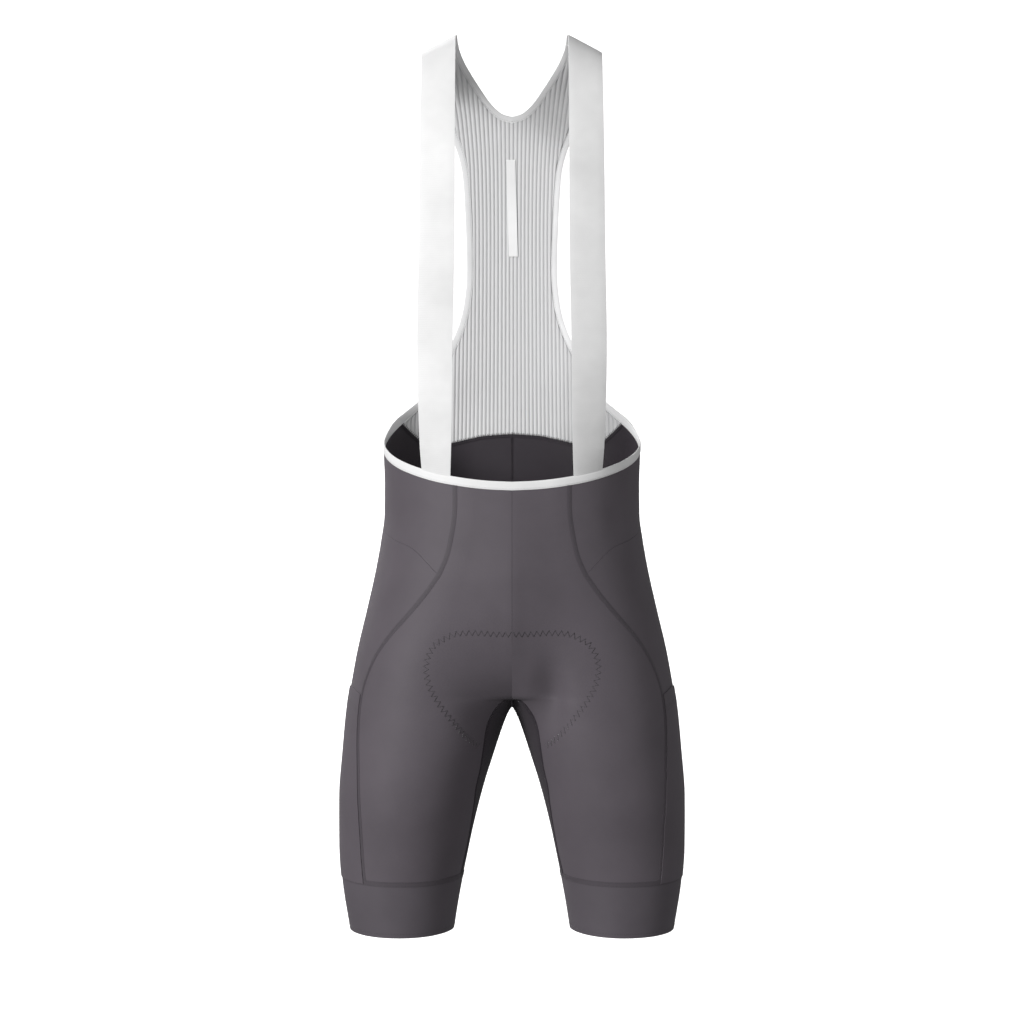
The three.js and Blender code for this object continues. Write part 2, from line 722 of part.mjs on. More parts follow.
// Across the inner leg, from the gusset's front seam to its back seam.
function innerArc(frontPlace, backPlace, middle, share) {
  const start = shellPoint(frontPlace.a, frontPlace.z);
  const end = shellPoint(backPlace.a, backPlace.z);
  const first = share < 0.5;
  const [from, to] = first ? [start, middle] : [middle, end];
  const length = Math.abs(to.y - from.y);
  const turn = (curves, z) => THREE.MathUtils.degToRad(curves.turn(z));
  const { apexSlope } = GUSSET;
  const leave = new THREE.Vector3(0, length, 0);
  const arrive = new THREE.Vector3(0, length, 0);
  if (first) {
    const angle = turn(frontEnd, frontPlace.z);
    const atApex = frontPlace.z > FRONT_APEX_Z - 0.01;
    leave.set(atApex ? 0 : -Math.cos(angle), Math.sin(angle), atApex ? -apexSlope : 0);
    leave.multiplyScalar(length);
  } else {
    const angle = turn(backEnd, backPlace.z);
    const atApex = backPlace.z > BACK_APEX_Z - 0.01;
    arrive.set(atApex ? 0 : Math.cos(angle), Math.sin(angle), atApex ? apexSlope : 0);
    arrive.multiplyScalar(length);
  }
  const t = first ? share * 2 : share * 2 - 1;
  const h00 = (1 + 2 * t) * (1 - t) ** 2;
  const h01 = t * t * (3 - 2 * t);
  return new THREE.Vector3()
    .addScaledVector(from, h00)
    .addScaledVector(leave, t * (1 - t) ** 2)
    .addScaledVector(to, h01)
    .addScaledVector(arrive, -t * t * (1 - t));
}

// Normals of a grid of points, from its own rows and columns.
function gridNormals(points, outside) {
  const rows = points.length - 1;
  const across = points[0].length - 1;
  const at = (r, c) =>
    points[THREE.MathUtils.clamp(r, 0, rows)][THREE.MathUtils.clamp(c, 0, across)];
  return points.map((line, r) =>
    line.map((point, c) => {
      const along = at(r, c + 1).clone().sub(at(r, c - 1));
      const down = at(r + 1, c).clone().sub(at(r - 1, c));
      const normal = along.cross(down).normalize();
      if (normal.dot(outside(point)) < 0) normal.negate();
      return { point, normal };
    }),
  );
}

// The gusset runs from one gripper over the crotch to the other.
const gussetHalf = gussetFront.map((frontPlace, r) => {
  const backPlace = gussetBack[r];
  const share = r / STEPS.gusset;
  const level = (frontPlace.z + backPlace.z) / 2;
  const sagging = Math.min(level - GUSSET.sag * (1 - share), CROTCH_Z - GUSSET.firstDrop);
  const z = r === 0 ? CROTCH_Z : sagging;
  const legZ = Math.max(z, GRIPPER_Z);
  const middle = new THREE.Vector3(innerLeg.x(legZ), innerLeg.y(legZ), legZ);
  const line = [];
  for (let c = 0; c <= STEPS.gussetAcross; c += 1) {
    line.push(innerArc(frontPlace, backPlace, middle, c / STEPS.gussetAcross));
  }
  return line;
});

function addGusset() {
  const mirrored = gussetHalf
    .slice(1)
    .reverse()
    .map((line) => line.map((p) => new THREE.Vector3(-p.x, p.y, p.z)));
  const places = [...gussetFront.slice(1).reverse(), ...gussetFront];
  const backPlaces = [...gussetBack.slice(1).reverse(), ...gussetBack];
  const outside = (p) => new THREE.Vector3(-Math.sign(p.x) * 2, 0, -1);
  const sheet = gridNormals([...mirrored, ...gussetHalf], outside);
  const last = STEPS.gussetAcross;
  sheet.forEach((line, r) => {
    const side = Math.sign(r - STEPS.gusset);
    const front = shellNormal(0, places[r].z);
    const back = shellNormal(4, backPlaces[r].z);
    line[0].normal = front.setX(front.x * side).normalize();
    line[last].normal = back.setX(back.x * side).normalize();
  });
  addPiece('gusset', wallFrom(drawIn(sheet, ALL_EDGES), KNIT_WALL), COLOURS.gusset);
}

// Gripper bands round the hems
function addGrippers() {
  const heights = [];
  for (let r = 0; r <= STEPS.gripperDown; r += 1) {
    heights.push(THREE.MathUtils.lerp(GRIPPER_Z, HEM_Z, r / STEPS.gripperDown));
  }
  const ring = joined(gripperFront, gripperBack);
  const sheet = heights.map((z) => {
    const outer = ring.map(({ a }) => ({ point: shellPoint(a, z), normal: shellNormal(a, z) }));
    const middle = new THREE.Vector3(innerLeg.x(z), innerLeg.y(z), z);
    for (let c = STEPS.gussetAcross - 1; c > 0; c -= 1) {
      const share = c / STEPS.gussetAcross;
      const arc = (s) => innerArc({ a: 0, z }, { a: 4, z }, middle, s);
      const along = arc(share + 0.02).sub(arc(share - 0.02));
      const normal = new THREE.Vector3(0, 0, 1).cross(along).normalize();
      outer.push({ point: arc(share), normal });
    }
    return outer;
  });
  const drawn = sheet.map((line, r) =>
    line.map(({ point, normal }) => ({
      point: point.clone().setZ(point.z - (r === 0 ? SEAM_GAP / 2 : 0)),
      normal,
    })),
  );
  addPair('leg_gripper', drawn, GRIPPER_WALL, EDGE_RISE, COLOURS.gripper, true);
}

// Waist binding: the seam line of the shorts, and the same line moved up the surface.
const waistSeam = joined(waistFront, waistSide);
function risenWaist() {
  return waistSeam.map(({ a, z }, i) => {
    const before = waistSeam[Math.max(0, i - 1)];
    const after = waistSeam[Math.min(waistSeam.length - 1, i + 1)];
    const point = shellPoint(a, z);
    const normal = shellNormal(a, z);
    const along = shellPoint(after.a, after.z).sub(shellPoint(before.a, before.z));
    if (i === 0) along.set(1, 0, 0);
    const up = along.cross(normal).normalize();
    if (up.z < 0) up.negate();
    return { low: point, high: point.clone().addScaledVector(up, BINDING_WIDTH), normal };
  });
}
const waistLine = risenWaist();

function addWaistBinding() {
  const mirrored = waistLine
    .slice(1)
    .reverse()
    .map(({ low, high, normal }) => ({
      low: new THREE.Vector3(-low.x, low.y, low.z),
      high: new THREE.Vector3(-high.x, high.y, high.z),
      normal: new THREE.Vector3(-normal.x, normal.y, normal.z),
    }));
  const line = [...mirrored, ...waistLine];
  const sheet = [
    line.map(({ high, normal }) => ({ point: high, normal })),
    line.map(({ low, normal }) => ({ point: low, normal })),
  ];
  const edges = { left: true, right: true, bottom: true };
  addPiece(
    'waist_binding',
    wallFrom(drawIn(sheet, edges), BINDING_WALL, BINDING_RISE),
    COLOURS.white,
  );
}

// Upper part, over the back, the shoulders and the chest
const path = {
  y: columnOfPath('y'),
  z: columnOfPath('z'),
  drop: columnOfPath('drop'),
  bow: columnOfPath('bow'),
};
const ribFan = columnCurve(RIB_FAN, 't', 'fan');

function columnOfPath(name) {
  const curve = new THREE.CatmullRomCurve3(
    PATH.map((row, i) => new THREE.Vector3(i, row[name], 0)),
    false,
    'catmullrom',
    0.5,
  );
  return (t) => curve.getPoint(THREE.MathUtils.clamp(t / (PATH.length - 1), 0, 1)).y;
}

function upperPoint(x, t) {
  const distance = Math.abs(x);
  const z = path.z(t) - path.drop(t) * (distance - SHOULDER_X);
  let y = path.y(t) + path.bow(t) * x * x;
  if (y > 0 && z < BIB_BLEND.high) {
    const reach = Math.min(distance, body.sideX(z) - 0.5);
    const onWaist = shellPoint(placeAtX(reach, z, 2, 4), z).y;
    const share = 1 - THREE.MathUtils.smoothstep(z, BIB_BLEND.low, BIB_BLEND.high);
    y = THREE.MathUtils.lerp(y, onWaist, share);
  }
  return new THREE.Vector3(x, y, z);
}

function upperNormal(x, t) {
  const along = upperPoint(x, t + NORMAL_STEP.t).sub(upperPoint(x, t - NORMAL_STEP.t));
  const across = upperPoint(x + NORMAL_STEP.x, t).sub(upperPoint(x - NORMAL_STEP.x, t));
  return along.cross(across).normalize();
}

function upperPlace(x, t) {
  return { point: upperPoint(x, t), normal: upperNormal(x, t) };
}

// The place t on the back where the upper part has the height z at the distance x.
function upperRow(x, z) {
  let low = 0;
  let high = SHOULDER_SEAM;
  for (let i = 0; i < HALVINGS; i += 1) {
    const middle = (low + high) / 2;
    if (upperPoint(x, middle).z < z) low = middle;
    else high = middle;
  }
  return (low + high) / 2;
}

// Even steps along an edge given by rows {x, z}, as places {x, t}.
function upperEdge(rows, count) {
  const curve = new THREE.CatmullRomCurve3(
    rows.map(({ x, z }) => upperPoint(x, upperRow(x, z))),
    false,
    'centripetal',
  );
  return curve.getSpacedPoints(count).map((p) => ({ x: p.x, t: upperRow(p.x, p.z) }));
}

// A band between an edge and the line BAND_WIDTH to its inside.
function bandLine(edge, inwards) {
  return edge.map(({ x, t }, i) => {
    const before = edge[Math.max(0, i - 1)];
    const after = edge[Math.min(edge.length - 1, i + 1)];
    const { point, normal } = upperPlace(x, t);
    const along = upperPoint(after.x, after.t).sub(upperPoint(before.x, before.t));
    const side = along.cross(normal).normalize();
    if (side.dot(inwards) < 0) side.negate();
    return { outer: point, inner: point.clone().addScaledVector(side, BAND_WIDTH), normal };
  });
}

const ARMHOLE_STEPS = 26;
const NECK_STEPS = 13;
const armholeEdge = upperEdge(ARMHOLE_EDGE, ARMHOLE_STEPS);
const neckEdge = upperEdge(NECK_EDGE, NECK_STEPS);
armholeEdge[ARMHOLE_STEPS].t = SHOULDER_SEAM;
neckEdge[NECK_STEPS].t = SHOULDER_SEAM;
const armholeLine = bandLine(armholeEdge, new THREE.Vector3(-1, 0, 0));
const neckLine = bandLine(neckEdge, new THREE.Vector3(0, 0, -1));

function putOnShoulderSeam(line, x) {
  const end = line[line.length - 1];
  end.inner = upperPoint(x, SHOULDER_SEAM);
}
putOnShoulderSeam(armholeLine, ARMHOLE_EDGE[ARMHOLE_EDGE.length - 1].x - BAND_WIDTH);
putOnShoulderSeam(neckLine, NECK_EDGE[NECK_EDGE.length - 1].x + BAND_WIDTH);
const neckMiddle = neckLine[0];
neckMiddle.inner = neckMiddle.outer.clone().setZ(neckMiddle.outer.z - BAND_WIDTH);

// The armhole band starts where the waist binding ends.
const waistEnd = waistLine[waistLine.length - 1];
armholeLine.unshift({ outer: waistEnd.high, inner: waistEnd.low, normal: waistEnd.normal });

function bandSheet(line) {
  return line.map(({ outer, inner, normal }) => [
    { point: outer, normal },
    { point: inner, normal },
  ]);
}

function addArmholeBands() {
  const edges = { right: true, top: true, bottom: true };
  const sheet = drawIn(bandSheet(armholeLine), edges);
  addPair('armhole_band', sheet, BAND_WALL, EDGE_RISE, COLOURS.ribbed);
}

function addNeckBand() {
  const half = bandSheet(neckLine);
  const sheet = [...mirrorSheet(half).slice(1).reverse(), ...half];
  const drawn = drawIn(sheet, { right: true, top: true, bottom: true });
  addPiece('neck_band', wallFrom(drawn, BAND_WALL, EDGE_RISE), COLOURS.ribbed);
}

function toManifold(geometry) {
  const bare = new THREE.BufferGeometry();
  bare.setAttribute('position', geometry.getAttribute('position'));
  bare.setIndex(geometry.getIndex());
  const merged = mergeVertices(bare);
  return new wasm.Manifold(new wasm.Mesh({
    numProp: 3,
    vertProperties: Float32Array.from(merged.getAttribute('position').array),
    triVerts: Uint32Array.from(merged.getIndex().array),
  }));
}

function fromManifold(manifold) {
  const mesh = manifold.getMesh();
  const geometry = new THREE.BufferGeometry();
  geometry.setAttribute('position', new THREE.Float32BufferAttribute(mesh.vertProperties, 3));
  geometry.setIndex(Array.from(mesh.triVerts));
  geometry.computeVertexNormals();
  return geometry;
}

// Joins two rows of points, each in order, with triangles.
function zipRows(first, second, place) {
  const triangles = [];
  let i = 0;
  let j = 0;
  while (i < first.length - 1 || j < second.length - 1) {
    const nextFirst = i < first.length - 1 ? place(first[i + 1]) : Infinity;
    const nextSecond = j < second.length - 1 ? place(second[j + 1]) : Infinity;
    if (nextFirst <= nextSecond) {
      triangles.push([first[i], first[i + 1], second[j]]);
      i += 1;
    } else {
      triangles.push([first[i], second[j + 1], second[j]]);
      j += 1;
    }
  }
  return triangles;
}

const SLAB_START = 0.15;

// Ribbed knit: ribs towards the body, one plain face behind, wider than the back.
function ribbedSlab() {
  const points = [];
  const ribbed = [];
  const plain = [];
  const rowPlaces = [];
  for (let r = 0; r <= BIB_ROWS; r += 1) {
    rowPlaces.push(THREE.MathUtils.lerp(SLAB_START, SHOULDER_SEAM, r / BIB_ROWS));
  }
  const addRow = (t, step, depth) => {
    const row = [];
    for (let k = -RIBS_EACH_SIDE; k <= RIBS_EACH_SIDE; k += step) {
      const { point, normal } = upperPlace(k * RIB_PITCH * ribFan(t), t);
      points.push(point.addScaledVector(normal, -depth(k)));
      row.push(points.length - 1);
    }
    return row;
  };
  rowPlaces.forEach((t) => {
    const crest = (k) => BIB_WALL + (Number.isInteger(k) ? RIB_HEIGHT : 0);
    ribbed.push(addRow(t, 0.5, crest));
    plain.push(addRow(t, 2, () => 0));
  });
  const triangles = [];
  const quad = (p, q, r, s) => triangles.push([p, q, r], [p, r, s]);
  for (let r = 0; r < BIB_ROWS; r += 1) {
    for (let c = 0; c < ribbed[r].length - 1; c += 1) {
      quad(ribbed[r][c], ribbed[r][c + 1], ribbed[r + 1][c + 1], ribbed[r + 1][c]);
    }
    for (let c = 0; c < plain[r].length - 1; c += 1) {
      quad(plain[r][c], plain[r + 1][c], plain[r + 1][c + 1], plain[r][c + 1]);
    }
    const endRibbed = ribbed[r].length - 1;
    const endPlain = plain[r].length - 1;
    quad(ribbed[r][0], ribbed[r + 1][0], plain[r + 1][0], plain[r][0]);
    quad(
      ribbed[r][endRibbed],
      plain[r][endPlain],
      plain[r + 1][endPlain],
      ribbed[r + 1][endRibbed],
    );
  }
  const across = (i) => points[i].x;
  zipRows(ribbed[0], plain[0], across).forEach(([p, q, r]) => triangles.push([p, r, q]));
  zipRows(ribbed[BIB_ROWS], plain[BIB_ROWS], across).forEach((t) => triangles.push(t));
  return geometryFrom(points, triangles);
}

const CUTTER_REACH = 7;
function cutterFrom(sheet) {
  return toManifold(wallFrom(sheet, 2 * CUTTER_REACH, CUTTER_REACH));
}

// Everything outside the armhole band's inner line, out past the ribbed slab's edge.
const SLAB_SIDE_X = 127;
const PAST_SHOULDER = 0.4;
const PAST_SLAB_FOOT = 6;
const PAST_CORNER = 0.06;
const NECK_CUT_HALF = 1;
function armholeCutter() {
  const columns = 5;
  const lastRow = armholeLine.length - 1;
  const rowOut = (start, normal, t) => {
    const row = [{ point: start, normal }];
    for (let c = 1; c <= columns; c += 1) {
      const far = SLAB_SIDE_X + SHOULDER_X * (t / SHOULDER_SEAM);
      row.push(upperPlace(THREE.MathUtils.lerp(start.x, far, c / columns), t));
    }
    return row;
  };
  const corner = armholeLine[0];
  const below = upperPlace(corner.inner.x, 0);
  const rows = armholeLine.map(({ inner, outer, normal }, i) => {
    const inwards = inner.clone().sub(outer).normalize();
    const start = inner.clone().addScaledVector(inwards, i < 2 ? CORNER_GAP : KNIT_EDGE_GAP);
    const t = i === 0 ? upperRow(corner.inner.x, corner.inner.z) : armholeEdge[i - 1].t;
    return rowOut(start, normal, t);
  });
  const end = upperPlace(armholeLine[lastRow].inner.x, SHOULDER_SEAM + PAST_SHOULDER);
  const above = rowOut(end.point, end.normal, SHOULDER_SEAM + PAST_SHOULDER);
  return [rowOut(below.point, below.normal, 0), ...rows, above];
}

// Everything above the neck band's inner line, up past the shoulder seam.
function neckCutter() {
  const columns = 8;
  const rowBetween = (point, t) => {
    const row = [];
    for (let c = 0; c <= columns; c += 1) {
      const { point: place, normal } = upperPlace(point.x * ((2 * c) / columns - 1), t);
      row.push({ point: place, normal });
    }
    return row;
  };
  const rows = neckLine.map(({ inner, outer }, i) => {
    const inwards = inner.clone().sub(outer).normalize();
    const start = inner.clone().addScaledVector(inwards, KNIT_EDGE_GAP);
    start.x = Math.max(start.x, NECK_CUT_HALF);
    const last = i === neckLine.length - 1;
    return rowBetween(start, last ? SHOULDER_SEAM : upperRow(start.x, start.z));
  });
  const end = neckLine[neckLine.length - 1].inner.clone();
  end.x += KNIT_EDGE_GAP;
  return [...rows, rowBetween(end, SHOULDER_SEAM + PAST_SHOULDER)];
}

// Everything below the seam to the shorts.
function bibSeamCutter() {
  const seam = joined(bibSeamSide, bibSeamBack);
  const half = [{ a: seam[0].a - PAST_CORNER, z: seam[0].z }, ...seam];
  const levels = [(z) => z + KNIT_EDGE_GAP, () => PATH[0].z - PAST_SLAB_FOOT];
  const sheet = levels.map((level) =>
    half.map(({ a, z }) => ({ point: shellPoint(a, level(z)), normal: shellNormal(a, z) })),
  );
  const mirrored = mirrorSheet(sheet);
  return sheet.map((line, r) => [...mirrored[r], ...line.slice(0, -1).reverse()]);
}

function addRibbedBack() {
  const armhole = armholeCutter();
  let back = toManifold(ribbedSlab());
  [armhole, mirrorSheet(armhole), neckCutter(), bibSeamCutter()].forEach((sheet) => {
    back = back.subtract(cutterFrom(sheet));
  });
  addPiece('ribbed_back', fromManifold(back), COLOURS.ribbed);
}

// Shoulder straps
function addStraps() {
  const inner = columnCurve(STRAP, 't', 'inner');
  const outer = columnCurve(STRAP, 't', 'outer');
  const lastRow = PATH.length - 1;
  const sheet = [];
  for (let r = 0; r < STRAP_ROWS; r += 1) {
    const share = r / (STRAP_ROWS - 1);
    const t = THREE.MathUtils.lerp(SHOULDER_SEAM, lastRow - STRAP_END_STEP, share);
    const row = [];
    for (let c = 0; c <= STRAP_ACROSS; c += 1) {
      row.push(upperPlace(THREE.MathUtils.lerp(inner(t), outer(t), c / STRAP_ACROSS), t));
    }
    sheet.push(row);
  }
  const tops = waistLine.map(({ high }) => high);
  const endRow = [];
  for (let c = 0; c <= STRAP_ACROSS; c += 1) {
    const x = THREE.MathUtils.lerp(inner(lastRow), outer(lastRow), c / STRAP_ACROSS);
    const i = tops.findIndex((p) => p.x > x);
    const share = (x - tops[i - 1].x) / (tops[i].x - tops[i - 1].x);
    const point = tops[i - 1].clone().lerp(tops[i], share);
    endRow.push({ point: point.setZ(point.z + STRAP_END_GAP), normal: waistLine[i].normal });
  }
  sheet.push(endRow);
  const drawn = drawIn(sheet, { top: true });
  addPair('shoulder_strap', drawn, STRAP_WALL, EDGE_RISE, COLOURS.white);
}

// Care label, hanging down the inside of the ribbed back
function addLabel() {
  const rows = 8;
  const sheet = [];
  for (let r = 0; r <= rows; r += 1) {
    const share = r / rows;
    const z = THREE.MathUtils.lerp(LABEL.top, LABEL.bottom, share);
    const middle = THREE.MathUtils.lerp(-LABEL.lean, LABEL.lean, share);
    sheet.push([-0.5, 0.5].map((side) => {
      const x = middle + side * LABEL.width;
      return upperPlace(x, upperRow(x, z));
    }));
  }
  const depth = BIB_WALL + RIB_HEIGHT + SEAM_GAP;
  addPiece('care_label', wallFrom(sheet, LABEL.wall, -depth), COLOURS.white);
}

addFrontPanels();
addHipPanels();
addBackPanels();
addPockets();
addGusset();
addGrippers();
addWaistBinding();
addArmholeBands();
addNeckBand();
addRibbedBack();
addStraps();
addLabel();

export default group;
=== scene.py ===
"""Cycling bib shorts, filled out as worn: dark knit shorts, ribbed white back, white straps."""
from math import cos, exp, floor, hypot, pi, radians, sin

import bpy
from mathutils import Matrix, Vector


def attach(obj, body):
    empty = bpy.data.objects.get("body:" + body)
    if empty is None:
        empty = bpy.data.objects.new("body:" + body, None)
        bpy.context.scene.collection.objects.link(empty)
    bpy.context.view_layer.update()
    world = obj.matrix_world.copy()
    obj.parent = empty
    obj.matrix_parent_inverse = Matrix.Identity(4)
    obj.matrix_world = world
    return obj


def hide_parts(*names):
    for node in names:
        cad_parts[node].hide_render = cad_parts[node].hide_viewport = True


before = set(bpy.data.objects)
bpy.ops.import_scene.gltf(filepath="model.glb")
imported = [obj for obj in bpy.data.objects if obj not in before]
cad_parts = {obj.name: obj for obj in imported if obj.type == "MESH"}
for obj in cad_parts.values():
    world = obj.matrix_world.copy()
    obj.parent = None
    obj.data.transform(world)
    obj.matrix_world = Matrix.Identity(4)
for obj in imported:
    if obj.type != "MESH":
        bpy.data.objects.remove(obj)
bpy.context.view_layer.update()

# Tables and widths are in millimetres, and a mesh is in metres.
MM = 0.001

KNIT_WALL = 1.3
POCKET_WALL = 0.9
GRIPPER_WALL = 1.5
BINDING_WIDTH = 8.8
BINDING_WALL = 2.0
BAND_WIDTH = 7.0
BAND_WALL = 1.6
BIB_WALL = 0.9
RIB_PITCH = 4.2
RIB_HEIGHT = 0.9
OUTER_RIB_HEIGHT = 0.35
STRAP_WALL = 1.3
PANEL_GAP = 0.12

GRIPPER_Z = -877.0
HEM_Z = -931.0
FRONT_APEX_Z = -686.0
BACK_APEX_Z = -690.0
CROTCH_Z = -700.0

# Steps along each seam in the solids; the meshes here have DETAIL times as many.
DETAIL = 4
STEPS = {
    "centre_front": 13,
    "gusset": 10,
    "gusset_across": 8,
    "front_upper": 5,
    "front_lower": 18,
    "centre_back": 8,
    "front_across": 8,
    "diagonal": 9,
    "bib_seam": 6,
    "pocket_top": 8,
    "pocket_across": 8,
}


def table(columns, *rows):
    """Rows as dictionaries with named columns."""
    names = columns.split()
    return [dict(zip(names, row)) for row in rows]


# Half a cross-section of the shorts runs from the front middle, a = 0, over the foremost
# point 1, the side 2 and the rearmost point 3 to the back middle 4.
BODY = table(
    "z side_x side_y fore_x fore_y rear_x rear_y",
    (-360, 135.0, 12, 35, -93, 40, 99),
    (-412, 133.3, 8, 35, -95, 40, 91),
    (-430, 134.8, 6, 35, -96, 40, 89),
    (-470, 133.6, 4, 36, -98, 42, 88),
    (-500, 133.9, 4, 38, -100, 45, 93),
    (-530, 137.8, 5, 42, -102, 50, 102),
    (-560, 143.3, 6, 48, -103, 55, 112),
    (-600, 152.4, 8, 60, -101, 62, 123),
    (-640, 162.0, 10, 75, -99, 70, 127),
    (-670, 167.6, 10, 84, -98, 76, 124),
    (-700, 172.6, 9, 90, -97, 82, 117),
    (-745, 176.8, 7, 96, -95, 90, 105),
    (-796, 180.2, 3, 104, -90, 100, 90),
    (-846, 179.6, -3, 110, -80, 108, 72),
    (-880, 177.0, -7, 113, -74, 112, 62),
    (-931, 168.8, -10, 114, -68, 114, 52),
)
FRONT_END = table(
    "z x y turn",
    (-360, 0, -93, 0),
    (-430, 0, -96, 0),
    (-500, 0, -100, 0),
    (-560, 0, -102.5, 0),
    (-590, 0, -100.5, 0),
    (-620, 0, -95, 0),
    (-645, 0, -87, 3),
    (-665, 0, -78, 11),
    (-678, 0, -70.5, 17.4),
    (-686, 0, -66, 19.3),
    (-687, 5.5, -65.6, 26.8),
    (-689, 9.5, -64.8, 33),
    (-692.5, 13.3, -63.6, 39.6),
    (-699, 17.4, -61.8, 46),
    (-709, 22.3, -60, 52),
    (-720, 25.6, -57.6, 57),
    (-743, 29.4, -52, 61),
    (-761, 32.2, -46.5, 64),
    (-783, 37, -40, 68),
    (-797, 38.6, -35, 71),
    (-842, 45.9, -25, 75),
    (-877, 53.6, -23, 76),
    (-931, 62, -23, 76),
)
BACK_END = table(
    "z x y turn",
    (-360, 0, 99, 0),
    (-412, 0, 91, 0),
    (-430, 0, 89, 0),
    (-470, 0, 88, 0),
    (-500, 0, 93, 0),
    (-530, 0, 102, 0),
    (-560, 0, 111.5, 0),
    (-600, 0, 120, 0),
    (-640, 0, 118, 4),
    (-665, 0, 104, 12),
    (-680, 0, 88, 20),
    (-690, 0, 74, 27),
    (-691, 6, 73.6, 30),
    (-693, 10.5, 73, 33),
    (-696.5, 14.5, 72.2, 37),
    (-703, 19.5, 70.5, 43),
    (-713, 25, 68, 50),
    (-725, 28.5, 65, 57),
    (-743, 31.8, 60, 62),
    (-770, 37, 51, 65),
    (-797, 42, 41, 67),
    (-842, 50.5, 28, 68),
    (-877, 57.5, 20, 68),
    (-931, 65.5, 13, 68),
)
INNER_LEG = table(
    "z x y",
    (-700, 0, 2),
    (-703.8, 2.1, 1.6),
    (-712, 5.8, 1),
    (-729, 12, 0),
    (-754, 20.2, -1),
    (-779, 28.2, -2),
    (-804.6, 35.2, -4),
    (-829.8, 41.3, -6),
    (-855, 46.6, -8),
    (-880, 51.7, -9),
    (-905, 56.3, -10),
    (-931, 60.4, -11),
)
WAIST_SEAM = table(
    "a z",
    (0, -477),
    (0.6, -476),
    (1.19, -470),
    (1.5, -458.5),
    (1.8, -443.5),
    (2.0, -431),
    (2.15, -419),
    (2.35, -404),
)
BIB_SEAM_SIDE = [(2.35, -404), (2.48, -415), (2.62, -427)]
BIB_SEAM_BACK = table(
    "a z",
    (2.62, -427),
    (2.75, -425.5),
    (2.95, -419.2),
    (3.2, -415.8),
    (4, -413.5),
)
FRONT_SEAM_TOP_X = 57.0
FRONT_SEAM_TOP_Z = -471.5
FRONT_SEAM_UPPER = [(57, -498), (60, -521), (65, -543), (73, -561)]
FRONT_SEAM_LOWER = [
    (73, -561),
    (89, -583),
    (106, -603),
    (122, -621),
    (139, -645),
    (150.5, -672),
    (154.5, -690),
    (157, -728),
    (156, -778),
    (153.5, -827),
    (150, -877),
]
DIAGONAL_SEAM = [
    (1.42, -534),
    (1.6, -527),
    (1.8, -518.5),
    (2.0, -509),
    (2.3, -478),
    (2.5, -447),
    (2.62, -427),
]
# Outline of the seat pad's stitching on the front, as distance from the middle and height.
PAD_STITCH = [
    (1, -617.5),
    (17, -618),
    (44, -618),
    (60, -620.5),
    (74, -628),
    (82.5, -639),
    (86, -652),
    (83.5, -669),
    (76, -685),
    (66, -700),
    (56, -713),
    (47, -724),
    (40, -731),
    (34, -736),
]

# Soft swells and hollows of the filled-out cloth: depth is outward in the middle, and
# wide and tall are how far each reaches.
RELIEF = table(
    "face x z wide tall depth",
    ("front", 0, -570, 46, 110, 11.5),
    ("front", 0, -610, 9, 90, 1.0),
    ("front", -34, -708, 19, 22, -3.0),
    ("front", 38, -685, 14, 34, -12.0),
    ("front", 108, -500, 13, 32, -2.5),
    ("front", -104, -505, 14, 34, -1.2),
    ("back", 0, -640, 12, 60, -2.5),
    ("back", -70, -742, 45, 8, -2.2),
    ("back", 74, -748, 45, 9, -2.4),
    ("back", -58, -765, 38, 7, -1.3),
    ("back", 0, -470, 45, 26, -2.0),
)

# Path of the back, shoulders and straps, from the back waist to the front waist.
SHOULDER_X = 56.0
SHOULDER_SEAM = 12.3
PATH = table(
    "y z drop bow",
    (88, -440, 0, -0.0018),
    (92, -400, 0, -0.0018),
    (99, -350, 0, -0.0016),
    (106, -300, 0, -0.0015),
    (111, -250, 0, -0.0015),
    (115, -200, 0, -0.0013),
    (117, -150, 0, -0.0012),
    (116, -105, 0, -0.001),
    (111, -66, 0.08, -0.0007),
    (100, -38, 0.3, -0.0004),
    (80, -19, 0.48, -0.0002),
    (53, -7, 0.56, 0),
    (26, -1.5, 0.56, 0),
    (0, 0.3, 0.56, 0),
    (-27, -2.5, 0.56, 0),
    (-54, -11, 0.5, 0),
    (-79, -27, 0.4, 0.0003),
    (-100, -54, 0.28, 0.0007),
    (-114, -92, 0.15, 0.001),
    (-122, -140, 0.06, 0.0012),
    (-126, -190, 0, 0.0013),
    (-126, -240, 0, 0.0013),
    (-125, -290, 0, 0.0014),
    (-122, -340, 0, 0.0016),
    (-118, -390, 0, 0.002),
    (-113, -430, 0, 0.0026),
    (-106, -466, 0, 0.003),
)
BLEND_LOW = -400.0
BLEND_HIGH = -340.0
ARMHOLE_EDGE = [
    (103.5, -379),
    (87, -350),
    (75, -328),
    (64, -306),
    (55.5, -281),
    (51, -252),
    (50, -225),
    (51, -190),
    (53, -150),
    (56, -118),
    (62, -96),
    (72, -71),
    (81, -48),
    (87, -35),
    (90.5, -27.5),
    (92.5, -21),
]
NECK_EDGE = [
    (0, -60),
    (11, -56.8),
    (22.3, -47.5),
    (33.5, -33.2),
    (44.3, -19),
    (52, -9.5),
    (57.2, -2.2),
]
RIB_FAN = table(
    "t fan",
    (0, 1.04),
    (3, 1.01),
    (5, 1),
    (6.5, 1.03),
    (8, 1.13),
    (9, 1.21),
    (10, 1.28),
    (11, 1.33),
    (12.3, 1.38),
)
RIBS_EACH_SIDE = 28
STRAP = table(
    "t inner outer",
    (12.3, 57.5, 93),
    (15, 57.5, 92),
    (17, 56.8, 91),
    (19.5, 56.5, 91.8),
    (21, 57, 92.6),
    (23, 59, 94.4),
    (24.5, 60, 93.2),
    (26, 61.8, 91.4),
)


